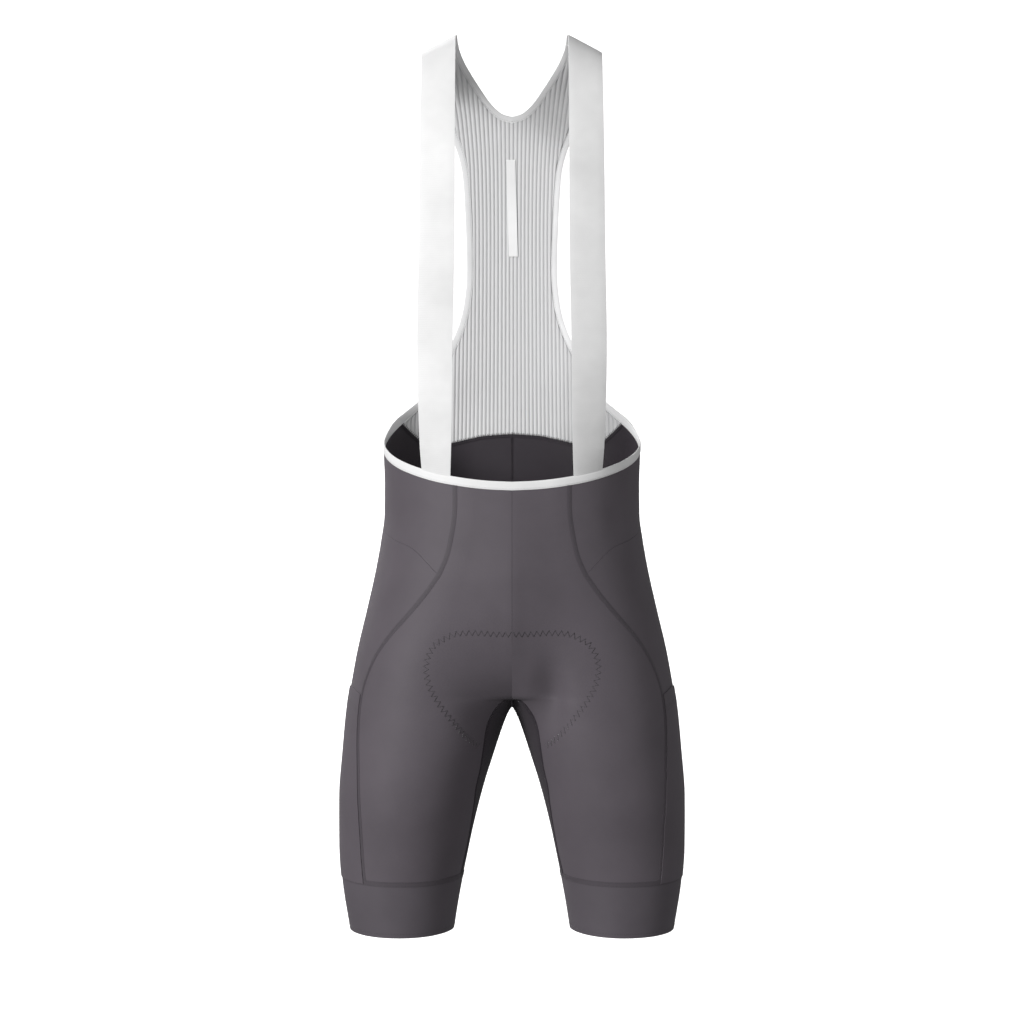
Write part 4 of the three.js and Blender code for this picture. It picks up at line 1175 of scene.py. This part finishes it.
def upper_point(x, t):
    distance = abs(x)
    z = path["z"](t) - path["drop"](t) * (distance - SHOULDER_X)
    y = path["y"](t) + path["bow"](t) * x * x
    if y > 0 and z < BLEND_HIGH:
        reach = min(distance, body["side_x"](z) - SIDE_MARGIN)
        on_waist = shell_point(place_at_x(reach, z, 2, 4), z).y
        y = mix(on_waist, y, smooth_step(z, BLEND_LOW, BLEND_HIGH))
    return Vector((x, y, z))


def upper_place(x, t):
    along = upper_point(x, t + STEP_ALONG) - upper_point(x, t - STEP_ALONG)
    across = upper_point(x + STEP_UP, t) - upper_point(x - STEP_UP, t)
    return upper_point(x, t), along.cross(across).normalized()


def upper_row(x, z):
    """The place t on the back where the upper part has the height z."""
    low, high = 0.0, SHOULDER_SEAM
    for _ in range(HALVINGS):
        middle = (low + high) / 2
        if upper_point(x, middle).z < z:
            low = middle
        else:
            high = middle
    return (low + high) / 2


def upper_edge(rows, count):
    """Even steps along an edge given by (x, z), as places (x, t)."""
    guides = [upper_point(x, upper_row(x, z)) for x, z in rows]
    dense = smooth_through(guides, UPPER_GUIDES_A_SPAN)
    return [(p.x, upper_row(p.x, p.z)) for p in even_steps(dense, dense, count)]


def band_line(edge, inwards):
    """Pairs of outer and inner points of a band along an edge, with their normals."""
    line = []
    for i, (x, t) in enumerate(edge):
        point, normal = upper_place(x, t)
        before = upper_point(*edge[max(0, i - 1)])
        after = upper_point(*edge[min(len(edge) - 1, i + 1)])
        side = (after - before).cross(normal).normalized()
        side = side if side.dot(inwards) > 0 else -side
        line.append((point, point + side * BAND_WIDTH, normal))
    return line


ARMHOLE_STEPS = 26 * DETAIL
NECK_STEPS = 13 * DETAIL
BAND_ACROSS = 5
BAND_RISE = 0.3
CORNER_STEPS = 4
armhole_edge = upper_edge(ARMHOLE_EDGE, ARMHOLE_STEPS)
neck_edge = upper_edge(NECK_EDGE, NECK_STEPS)
armhole_edge[-1] = (armhole_edge[-1][0], SHOULDER_SEAM)
neck_edge[-1] = (neck_edge[-1][0], SHOULDER_SEAM)
armhole_line = band_line(armhole_edge, Vector((-1, 0, 0)))
neck_line = band_line(neck_edge, Vector((0, 0, -1)))


def close_on_shoulder(line, x):
    outer, _, normal = line[-1]
    line[-1] = (outer, upper_point(x, SHOULDER_SEAM), normal)


close_on_shoulder(armhole_line, ARMHOLE_EDGE[-1][0] - BAND_WIDTH)
close_on_shoulder(neck_line, NECK_EDGE[-1][0] + BAND_WIDTH)
neck_top = neck_line[0][0]
neck_line[0] = (neck_top, neck_top - Vector((0, 0, BAND_WIDTH)), Vector((0, 1, 0)))

waist_end_low, waist_end_high, waist_end_normal = waist_line[-1]
first_outer, first_inner, first_normal = armhole_line[0]
corner = [
    (
        waist_end_high.lerp(first_outer, k / CORNER_STEPS),
        waist_end_low.lerp(first_inner, k / CORNER_STEPS),
        waist_end_normal.lerp(first_normal, k / CORNER_STEPS).normalized(),
    )
    for k in range(CORNER_STEPS)
]
armhole_line = corner + armhole_line


def band_sheet(line):
    return [
        [(outer.lerp(inner, k / BAND_ACROSS), normal) for k in range(BAND_ACROSS + 1)]
        for outer, inner, normal in line
    ]


def make_bands():
    half = draw_in(band_sheet(armhole_line), ("top", "bottom"))
    for side, turned in SIDES:
        name = f"armhole_band_cloth_{side}"
        piece = wall_mesh(name, turned(half), BAND_WALL, BAND_RISE, rounded=True)
        cloth(piece, band_knit, f"armhole_band_{side}", (0.012, 0.47), 0.0036)
    neck = draw_in(both_halves(band_sheet(neck_line)), ("top", "bottom"))
    piece = wall_mesh("neck_band_cloth", neck, BAND_WALL, BAND_RISE, rounded=True)
    cloth(piece, band_knit, "neck_band", (0.012, 0.25), 0.0019)


# Ribbed back
RIB_SAMPLES = 6
RIB_ROUNDNESS = 0.8
BIB_ROWS = 110
BIB_START = 0.2
rib_edge_x = column_curve(
    [{"t": upper_row(p.x, p.z), "x": p.x} for _, p, _ in armhole_line],
    "t",
    "x",
)
neck_limit = column_curve(
    [{"x": p.x, "t": upper_row(p.x, p.z)} for _, p, _ in neck_line[:-1]]
    + [{"x": neck_line[-1][1].x, "t": SHOULDER_SEAM}],
    "x",
    "t",
)
seam_limit = column_curve(
    [
        {"x": p.x, "t": upper_row(p.x, p.z)}
        for p in (shell_point(a, z) for a, z in joined(bib_side, bib_back))
    ],
    "x",
    "t",
)


def rib_crest(k):
    """Height on a rib at rib number k: 1 on a crest, 0 in the groove halfway to the next."""
    return abs(cos(pi * k)) ** RIB_ROUNDNESS


def make_ribbed_back():
    sheet = []
    ribs = []
    count = 2 * RIBS_EACH_SIDE * RIB_SAMPLES
    for r in range(BIB_ROWS + 1):
        t = mix(BIB_START, SHOULDER_SEAM, r / BIB_ROWS)
        side = rib_edge_x(t)
        line = []
        row_crests = []
        for c in range(count + 1):
            k = -RIBS_EACH_SIDE + c / RIB_SAMPLES
            x = clamp(k * RIB_PITCH * rib_fan(t), -side, side)
            held = clamp(t, seam_limit(abs(x)), neck_limit(abs(x)))
            line.append(upper_place(x, held))
            row_crests.append(rib_crest(k))
        sheet.append(line)
        ribs.append(row_crests)
    piece = wall_mesh("ribbed_back_cloth", sheet, BIB_WALL, ribs=ribs)
    cloth(piece, ribbed_knit, "ribbed_back", (0.24, 0.5), 0.06)


# Shoulder straps
STRAP_ROWS = 90
STRAP_ACROSS = 10
STRAP_END_STEP = 0.9
STRAP_END_ROWS = 12
STRAP_TUCK = 2.5
STRAP_TUCK_DEPTH = 0.4
STRAP_RISE = 0.3


def waist_top_at(x):
    """The strap's sewn end, tucked a little way down behind the binding."""
    tops = [high for _, high, _ in waist_line]
    i = next(k for k, p in enumerate(tops) if p.x > x)
    share = (x - tops[i - 1].x) / (tops[i].x - tops[i - 1].x)
    normal = waist_line[i][2]
    tucked = tops[i - 1].lerp(tops[i], share) - Vector((0, 0, STRAP_TUCK))
    return tucked - normal * STRAP_TUCK_DEPTH, normal


def make_straps():
    last = len(PATH) - 1
    sheet = []
    for r in range(STRAP_ROWS):
        t = mix(SHOULDER_SEAM, last - STRAP_END_STEP, r / (STRAP_ROWS - 1))
        sheet.append([
            upper_place(mix(strap_inner(t), strap_outer(t), c / STRAP_ACROSS), t)
            for c in range(STRAP_ACROSS + 1)
        ])
    sewn_end = [
        waist_top_at(mix(strap_inner(last), strap_outer(last), c / STRAP_ACROSS))
        for c in range(STRAP_ACROSS + 1)
    ]
    above = sheet[-1]
    for r in range(1, STRAP_END_ROWS + 1):
        share = r / STRAP_END_ROWS
        sheet.append([
            (p.lerp(end, share), n.lerp(end_normal, share).normalized())
            for (p, n), (end, end_normal) in zip(above, sewn_end)
        ])
    sheet = draw_in(sheet, ("top",))
    for side, turned in SIDES:
        name = f"shoulder_strap_cloth_{side}"
        piece = wall_mesh(name, turned(sheet), STRAP_WALL, STRAP_RISE, rounded=True)
        cloth(piece, white_elastic, f"shoulder_strap_{side}", (0.036, 0.62))


LABEL_TOP = -107
LABEL_BOTTOM = -215
LABEL_WIDTH = 10
LABEL_LEAN = 1.5
LABEL_WALL = 0.5
LABEL_DEPTH = BIB_WALL + RIB_HEIGHT + 0.3
LABEL_ROWS = 20
LABEL_COLUMNS = (-0.5, -0.2, 0.2, 0.5)


def make_label():
    sheet = []
    for r in range(LABEL_ROWS + 1):
        z = mix(LABEL_TOP, LABEL_BOTTOM, r / LABEL_ROWS)
        middle = mix(-LABEL_LEAN, LABEL_LEAN, r / LABEL_ROWS)
        sheet.append([
            upper_place(middle + side * LABEL_WIDTH, upper_row(middle, z))
            for side in LABEL_COLUMNS
        ])
    piece = wall_mesh("care_label_cloth", sheet, LABEL_WALL, -LABEL_DEPTH)
    cloth(piece, label_satin, "care_label", (0.0105, 0.11))


# Seam tapes and backings
TAPE_ACROSS = 4
BEHIND = 0.1 - KNIT_WALL


def seam_frames(places):
    """(point, normal, sideways) along a seam given by places (a, z)."""
    points = [shell_point(a, z) for a, z in places]
    frames = []
    for i, (a, z) in enumerate(places):
        along = points[min(len(points) - 1, i + 1)] - points[max(0, i - 1)]
        normal = shell_normal(a, z)
        frames.append((points[i], normal, along.cross(normal).normalized()))
    return frames


def tape_sheet(frames, width, shift=0.0):
    return [
        [
            (point + side * (shift + width * (k / TAPE_ACROSS - 0.5)), normal)
            for k in range(TAPE_ACROSS + 1)
        ]
        for point, normal, side in frames
    ]


def make_tapes():
    """Flat seams that stand a little proud, and strips behind the plain seams."""
    front_seam = joined(front_upper, front_lower)
    # The allowances and the gusset seam tapes use the dark inside knit, so they carry its painted
    # shade.
    tapes = table(
        "name places width shift wall rise material panel",
        ("front_seam_tape", front_seam, 4.8, 0, 0.9, 0.42, seam_knit, "front_panel"),
        ("gusset_front_seam_tape", gusset_front, 3.8, 0, 0.9, 0.55, inside_knit_painted_shade, "front_panel"),
        ("gusset_back_seam_tape", gusset_back, 3.8, 0, 0.9, 0.55, inside_knit_painted_shade, "back_panel"),
        ("centre_front_allowance", centre_front, 2.6, 0, 0.4, BEHIND, inside_knit_painted_shade, "front_panel"),
        ("centre_back_allowance", centre_back, 2.6, 0, 0.4, BEHIND, inside_knit_painted_shade, "back_panel"),
        ("diagonal_allowance", diagonal, 5.0, 0, 0.4, BEHIND, inside_knit_painted_shade, "hip_panel"),
        ("front_seam_allowance", front_seam, 7.0, 0, 0.4, BEHIND, inside_knit_painted_shade, "front_panel"),
        ("bib_side_allowance", bib_side, 3.2, 0.9, 1.0, BEHIND, inside_knit_painted_shade, "hip_panel"),
        ("bib_back_allowance", bib_back, 3.2, 0.9, 1.0, BEHIND, inside_knit_painted_shade, "back_panel"),
    )
    for row in tapes:
        sheet = tape_sheet(seam_frames(row["places"]), row["width"], row["shift"])
        for side, turned in SIDES:
            name = f"{row['name']}_{side}"
            piece = wall_mesh(name, turned(sheet), row["wall"], row["rise"], rounded=True)
            sewing(piece, row["material"], f"{row['panel']}_{side}")


# Stitches, made by Geometry Nodes along paths
def new_tree(name, floats):
    """A node tree with a geometry, named lengths and a thread material as its inputs."""
    tree = bpy.data.node_groups.new(name, "GeometryNodeTree")
    tree.interface.new_socket("Path", in_out="INPUT", socket_type="NodeSocketGeometry")
    for label in floats:
        tree.interface.new_socket(label, in_out="INPUT", socket_type="NodeSocketFloat")
    tree.interface.new_socket("Thread", in_out="INPUT", socket_type="NodeSocketMaterial")
    tree.interface.new_socket("Sewing", in_out="OUTPUT", socket_type="NodeSocketGeometry")
    start = tree.nodes.new("NodeGroupInput")
    curve = tree.nodes.new("GeometryNodeMeshToCurve")
    tree.links.new(start.outputs["Path"], curve.inputs["Mesh"])
    return tree, start, curve


def end_tree(tree, start, geometry):
    """Ends a tree: smooth shading, instances realized and the thread's material."""
    smooth = tree.nodes.new("GeometryNodeSetShadeSmooth")
    realize = tree.nodes.new("GeometryNodeRealizeInstances")
    paint = tree.nodes.new("GeometryNodeSetMaterial")
    end = tree.nodes.new("NodeGroupOutput")
    tree.links.new(geometry, realize.inputs["Geometry"])
    tree.links.new(realize.outputs["Geometry"], smooth.inputs["Geometry"])
    tree.links.new(smooth.outputs["Geometry"], paint.inputs["Geometry"])
    tree.links.new(start.outputs["Thread"], paint.inputs["Material"])
    tree.links.new(paint.outputs["Geometry"], end.inputs["Sewing"])


def make_stitch_tree():
    """Short stitches at even steps; "out" on the path is the cloth's outward direction."""
    tree, start, curve = new_tree("stitch_row", ("Pitch", "Length", "Thickness", "Turn"))
    nodes, links = tree.nodes, tree.links
    even = nodes.new("GeometryNodeResampleCurve")
    even.mode = "LENGTH"
    stitch = nodes.new("GeometryNodeMeshUVSphere")
    stitch.inputs["Segments"].default_value = 6
    stitch.inputs["Rings"].default_value = 4
    stitch.inputs["Radius"].default_value = 0.5
    size = nodes.new("ShaderNodeCombineXYZ")
    tangent = nodes.new("GeometryNodeInputTangent")
    out = nodes.new("GeometryNodeInputNamedAttribute")
    out.data_type = "FLOAT_VECTOR"
    out.inputs["Name"].default_value = "out"
    facing = nodes.new("FunctionNodeAxesToRotation")
    facing.primary_axis = "Z"
    facing.secondary_axis = "X"
    turn_axes = nodes.new("ShaderNodeCombineXYZ")
    turn = nodes.new("FunctionNodeEulerToRotation")
    turned = nodes.new("FunctionNodeRotateRotation")
    turned.rotation_space = "LOCAL"
    copies = nodes.new("GeometryNodeInstanceOnPoints")
    links.new(curve.outputs["Curve"], even.inputs["Curve"])
    links.new(start.outputs["Pitch"], even.inputs["Length"])
    links.new(start.outputs["Length"], size.inputs["X"])
    links.new(start.outputs["Thickness"], size.inputs["Y"])
    links.new(start.outputs["Thickness"], size.inputs["Z"])
    links.new(out.outputs["Attribute"], facing.inputs["Primary Axis"])
    links.new(tangent.outputs["Tangent"], facing.inputs["Secondary Axis"])
    links.new(start.outputs["Turn"], turn_axes.inputs["Z"])
    links.new(turn_axes.outputs["Vector"], turn.inputs["Euler"])
    links.new(facing.outputs["Rotation"], turned.inputs["Rotation"])
    links.new(turn.outputs["Rotation"], turned.inputs["Rotate By"])
    links.new(even.outputs["Curve"], copies.inputs["Points"])
    links.new(stitch.outputs["Mesh"], copies.inputs["Instance"])
    links.new(turned.outputs["Rotation"], copies.inputs["Rotation"])
    links.new(size.outputs["Vector"], copies.inputs["Scale"])
    end_tree(tree, start, copies.outputs["Instances"])
    return tree


def make_thread_tree():
    """A thread of even thickness along the whole path."""
    tree, start, curve = new_tree("thread", ("Thickness",))
    circle = tree.nodes.new("GeometryNodeCurvePrimitiveCircle")
    circle.inputs["Resolution"].default_value = 6
    halve = tree.nodes.new("ShaderNodeMath")
    halve.operation = "MULTIPLY"
    halve.inputs[1].default_value = 0.5
    tube = tree.nodes.new("GeometryNodeCurveToMesh")
    tube.inputs["Fill Caps"].default_value = True
    tree.links.new(start.outputs["Thickness"], halve.inputs[0])
    tree.links.new(halve.outputs["Value"], circle.inputs["Radius"])
    tree.links.new(curve.outputs["Curve"], tube.inputs["Curve"])
    tree.links.new(circle.outputs["Curve"], tube.inputs["Profile Curve"])
    end_tree(tree, start, tube.outputs["Mesh"])
    return tree


stitch_tree = make_stitch_tree()
thread_tree = make_thread_tree()


def grow(name, paths, tree, **values):
    """Sewing grown by a tree along paths, each a list of (point, outward) in metres."""
    points = [point for one in paths for point, _ in one]
    outward = [value for one in paths for _, out in one for value in out]
    edges = []
    first = 0
    for one in paths:
        edges.extend((first + i, first + i + 1) for i in range(len(one) - 1))
        first += len(one)
    mesh = bpy.data.meshes.new(f"{name}_path")
    mesh.from_pydata([tuple(p) for p in points], edges, [])
    mesh.attributes.new("out", "FLOAT_VECTOR", "POINT").data.foreach_set("vector", outward)
    piece = bpy.data.objects.new(name, mesh)
    bpy.context.scene.collection.objects.link(piece)
    modifier = piece.modifiers.new("sewing", "NODES")
    modifier.node_group = tree
    for item in tree.interface.items_tree:
        if item.in_out == "INPUT" and item.name in values:
            modifier[item.identifier] = values[item.name]
    graph = bpy.context.evaluated_depsgraph_get()
    grown = bpy.data.meshes.new_from_object(piece.evaluated_get(graph))
    piece.modifiers.remove(modifier)
    piece.data = grown
    return piece


def stitch_path(frames, across=0.0, lift=0.0, inside=False):
    """A path beside a seam: across is to its side, lift out of the cloth's face."""
    way = -1 if inside else 1
    return [(point + side * across, normal, lift, way) for point, normal, side in frames]


def both_sides(paths):
    """Each path on the right and on the left, lifted there with the relief of the cloth."""
    rows = []
    for path in paths:
        for turn in (1, -1):
            row = []
            for point, normal, lift, way in path:
                place = Vector((turn * point.x, point.y, point.z))
                out = Vector((turn * normal.x, normal.y, normal.z))
                row.append((lifted(place, out, lift), out * way))
            rows.append(row)
    return rows


def sew(name, paths, thread, slot, node, pitch, length, thickness, turn=0.0):
    """A row of stitches; pitch, length and thickness are in millimetres."""
    piece = grow(
        name,
        paths,
        stitch_tree,
        Pitch=pitch * MM,
        Length=length * MM,
        Thickness=thickness * MM,
        Turn=radians(turn),
        Thread=thread,
    )
    sewing(piece, None, node)


def zigzag(frames, pitch, width, lift):
    """A thread from side to side of a seam, at even steps."""
    points = [point for point, _, _ in frames]
    count = int(sum((q - p).length for p, q in zip(points, points[1:])) / pitch * 2)
    even_points = even_steps(points, points, count)
    even_normals = even_steps([normal for _, normal, _ in frames], points, count)
    even_sides = even_steps([side for _, _, side in frames], points, count)
    path = []
    for i, (point, normal, side) in enumerate(zip(even_points, even_normals, even_sides)):
        swing = width / 2 if i % 2 else -width / 2
        path.append((point + side * swing, normal.normalized(), lift, 1))
    return path


# Kinds of sewing, in millimetres; turn is a stitch's slant out of its row, in degrees.
FLAT_SEAM = {"pitch": 1.9, "length": 4.2, "thickness": 0.36, "turn": 68}
GUSSET_SEAM = {"pitch": 1.7, "length": 3.1, "thickness": 0.32, "turn": 68}
OVERLOCK = {"pitch": 2.4, "length": 4.0, "thickness": 0.8, "turn": 84}
GRIPPER_STITCH = {"pitch": 3.1, "length": 2.3, "thickness": 0.42}
POCKET_STITCH = {"pitch": 3.1, "length": 2.3, "thickness": 0.4}
BAND_STITCH = {"pitch": 2.8, "length": 2.1, "thickness": 0.34}
BINDING_STITCH = {"pitch": 3.0, "length": 2.2, "thickness": 0.34}
SHOULDER_STITCH = {"pitch": 2.6, "length": 1.9, "thickness": 0.34}
PAD_ZIGZAG = {"pitch": 6.0, "width": 5.6, "lift": 0.16}
PAD_THREAD = 0.56
PAD_STEPS = 90

# How far each kind lies out of the cloth's outer face, and to the side of its seam
FLAT_SEAM_LIFT = 0.42
GUSSET_SEAM_LIFT = 0.56
OVERLOCK_LIFT = -KNIT_WALL - 1.5
OVERLOCK_ACROSS = -0.9
POCKET_STITCH_LIFT = POCKET_WALL + 0.4
BAND_STITCH_LIFT = 0.32
BAND_BACK_LIFT = 0.25 - BAND_WALL
SHOULDER_STITCH_LIFT = 0.34


def make_stitches():
    seam = seam_frames(joined(front_upper, front_lower))
    paths = both_sides([stitch_path(seam, lift=FLAT_SEAM_LIFT)])
    sew("front_seam_stitches", paths, dark_thread, "knit", "front_panel_right", **FLAT_SEAM)
    for name, places, node in (
        ("gusset_front_stitches", gusset_front, "front_panel_right"),
        ("gusset_back_stitches", gusset_back, "back_panel_right"),
    ):
        paths = both_sides([stitch_path(seam_frames(places), lift=GUSSET_SEAM_LIFT)])
        sew(name, paths, dark_thread, "knit", node, **GUSSET_SEAM)
    bib_seam = seam_frames(joined(bib_side, bib_back))
    paths = both_sides([stitch_path(bib_seam, OVERLOCK_ACROSS, OVERLOCK_LIFT, inside=True)])
    sew("bib_seam_overlock", paths, dark_thread, "knit", "back_panel_right", **OVERLOCK)
    make_pad_zigzag()
    make_gripper_stitches()
    make_pocket_stitches()
    make_white_stitches()


def make_pad_zigzag():
    """The zigzag that holds the pad, seen on the front."""
    frames = seam_frames(shell_seam(front_places(PAD_STITCH), PAD_STEPS))
    piece = grow(
        "pad_zigzag",
        both_sides([zigzag(frames, **PAD_ZIGZAG)]),
        thread_tree,
        Thickness=PAD_THREAD * MM,
        Thread=soft_thread,
    )
    sewing(piece, None, "front_panel_right")


GRIPPER_STITCH_ROWS = table(
    "z lift",
    (GRIPPER_Z + 0.4, 0.52),
    (GRIPPER_Z + 3.6, 0.52),
    (HEM_Z + 4.5, 0.3),
)


def make_gripper_stitches():
    """Two rows of cover stitch round the top of each gripper, and one by the hem."""
    rows = []
    for row in GRIPPER_STITCH_ROWS:
        z = row["z"]
        ring = gripper_sheet(z, z - 1, 1)[0]
        path = [(point, normal, row["lift"], 1) for point, normal in ring]
        rows.append(path + path[:1])
    sew(
        "gripper_stitches",
        both_sides(rows),
        dark_thread,
        "gripper_knit",
        "leg_gripper_right",
        **GRIPPER_STITCH,
    )


POCKET_HEM_ROWS = 3
POCKET_ROW_GAP = 3.4


def make_pocket_stitches():
    first_row = steps_of("pocket_top")
    last_column = steps_of("pocket_across")
    hem = seam_frames(back_grid[first_row + POCKET_HEM_ROWS][:last_column])
    edge = seam_frames([line[last_column - 1] for line in back_grid[first_row:]])
    rows = [
        stitch_path(hem, 0, POCKET_STITCH_LIFT),
        stitch_path(hem, POCKET_ROW_GAP, POCKET_STITCH_LIFT),
        stitch_path(edge, 0, POCKET_STITCH_LIFT),
    ]
    paths = both_sides(rows)
    sew("pocket_stitches", paths, dark_thread, "knit", "thigh_pocket_right", **POCKET_STITCH)


def edge_path(line, share, lift, inside=False):
    """A path on a band, at a share of its width from its outer edge."""
    way = -1 if inside else 1
    return [(outer.lerp(inner, share), normal, lift, way) for outer, inner, normal in line]


STRAP_MARGIN = 0.08


def shoulder_path(t):
    """A path across the strap at place t, a little short of both its edges."""
    path = []
    for c in range(STRAP_ACROSS + 1):
        share = mix(STRAP_MARGIN, 1 - STRAP_MARGIN, c / STRAP_ACROSS)
        point, normal = upper_place(mix(strap_inner(t), strap_outer(t), share), t)
        path.append((point, normal, SHOULDER_STITCH_LIFT, 1))
    return path


# Where the rows lie: as shares of a band's width, and as places past the shoulder seam
BAND_STITCH_SHARE = 0.8
BINDING_STITCH_SHARE = 0.82
SHOULDER_STITCH_ROWS = (0.12, 0.24)


def make_white_stitches():
    """Pale sewing on the bands, the binding and the straps."""
    for name, line, node in (
        ("armhole_band", armhole_line, "armhole_band_right"),
        ("neck_band", neck_line, "neck_band"),
    ):
        paths = both_sides([
            edge_path(line, BAND_STITCH_SHARE, BAND_STITCH_LIFT),
            edge_path(line, BAND_STITCH_SHARE, BAND_BACK_LIFT, inside=True),
        ])
        sew(f"{name}_stitches", paths, grey_thread, "ribbed_knit", node, **BAND_STITCH)
    binding = [(high, low, normal) for low, high, normal in waist_line]
    paths = both_sides([edge_path(binding, BINDING_STITCH_SHARE, BINDING_RISE)])
    name = "waist_binding_stitches"
    sew(name, paths, white_thread, "white_elastic", "waist_binding", **BINDING_STITCH)
    rows = [shoulder_path(SHOULDER_SEAM + after) for after in SHOULDER_STITCH_ROWS]
    sew(
        "strap_stitches",
        both_sides(rows),
        white_thread,
        "white_elastic",
        "shoulder_strap_right",
        **SHOULDER_STITCH,
    )


make_panels()
make_pockets()
make_gusset()
make_grippers()
make_waist_binding()
make_bands()
make_ribbed_back()
make_straps()
make_label()
make_tapes()
make_stitches()


# Camera, light and stage, in metres
CAMERA_DISTANCE = 2.0
PIXEL = 0.00105
IMAGE_WIDTH = 1024
CAMERA_HEIGHT = -0.498
SENSOR = 36.0


def make_camera():
    data = bpy.data.cameras.new("studio_camera")
    data.sensor_width = SENSOR
    data.lens = SENSOR * CAMERA_DISTANCE / (PIXEL * IMAGE_WIDTH)
    camera = bpy.data.objects.new("studio_camera", data)
    camera.location = (0, -CAMERA_DISTANCE, CAMERA_HEIGHT)
    camera.rotation_euler = (pi / 2, 0, 0)
    bpy.context.scene.collection.objects.link(camera)
    bpy.context.scene.camera = camera


SOFTBOXES = table(
    "name place size power",
    ("key_softbox", (-3.5, -3.5, 0.9), (1.6, 2.2), 245),
    ("fill_softbox", (3.4, -2.4, 0.4), (1.6, 2.2), 32),
    ("back_softbox", (-1.0, 2.3, 0.9), (1.6, 1.6), 60),
)
MIDDLE_HEIGHT = Vector((0, 0, -0.5))


def add_softbox(name, place, size, power):
    """A softbox that looks at the middle of the garment."""
    data = bpy.data.lights.new(name, "AREA")
    data.shape = "RECTANGLE"
    data.size, data.size_y = size
    data.energy = power
    light = bpy.data.objects.new(name, data)
    light.location = place
    light.visible_camera = False
    light.rotation_euler = (MIDDLE_HEIGHT - Vector(place)).to_track_quat("-Z", "Y").to_euler()
    bpy.context.scene.collection.objects.link(light)


FLOOR_Z = HEM_Z * MM - 0.12
FLOOR_FRONT = -6.0
FLOOR_BACK = 1.5
SWEEP_RADIUS = 1.0
SWEEP_STEPS = 8
SWEEP_TOP = 5.0
SWEEP_HALF_WIDTH = 8


def make_stage():
    """A white sweep: floor in front, curving up into a wall behind."""
    material, _, _, surface = shader("white_sweep", (0.9, 0.9, 0.9), 0.9)
    surface.inputs["Emission Color"].default_value = (1, 1, 1, 1)
    surface.inputs["Emission Strength"].default_value = 0.75
    profile = [(FLOOR_FRONT, FLOOR_Z), (FLOOR_BACK, FLOOR_Z)]
    for k in range(1, SWEEP_STEPS + 1):
        turn = k * pi / (2 * SWEEP_STEPS)
        y = FLOOR_BACK + SWEEP_RADIUS * sin(turn)
        profile.append((y, FLOOR_Z + SWEEP_RADIUS * (1 - cos(turn))))
    profile.append((FLOOR_BACK + SWEEP_RADIUS, SWEEP_TOP))
    points = [(x, y, z) for y, z in profile for x in (-SWEEP_HALF_WIDTH, SWEEP_HALF_WIDTH)]
    faces = [(2 * i, 2 * i + 1, 2 * i + 3, 2 * i + 2) for i in range(len(profile) - 1)]
    mesh = bpy.data.meshes.new("studio_sweep")
    mesh.from_pydata(points, [], faces)
    mesh.materials.append(material)
    mesh.shade_smooth()
    sweep = bpy.data.objects.new("studio_sweep", mesh)
    bpy.context.scene.collection.objects.link(sweep)
    sweep.visible_glossy = False
    sweep.visible_diffuse = False


SKY_STRENGTH = 0.18


def make_world():
    world = bpy.data.worlds.new("studio_world")
    world.use_nodes = True
    sky = world.node_tree.nodes["Background"]
    sky.inputs["Color"].default_value = (1, 1, 1, 1)
    sky.inputs["Strength"].default_value = SKY_STRENGTH
    bpy.context.scene.world = world


make_camera()
make_world()
make_stage()
for softbox in SOFTBOXES:
    add_softbox(**softbox)
bpy.context.scene.view_settings.view_transform = "Standard"
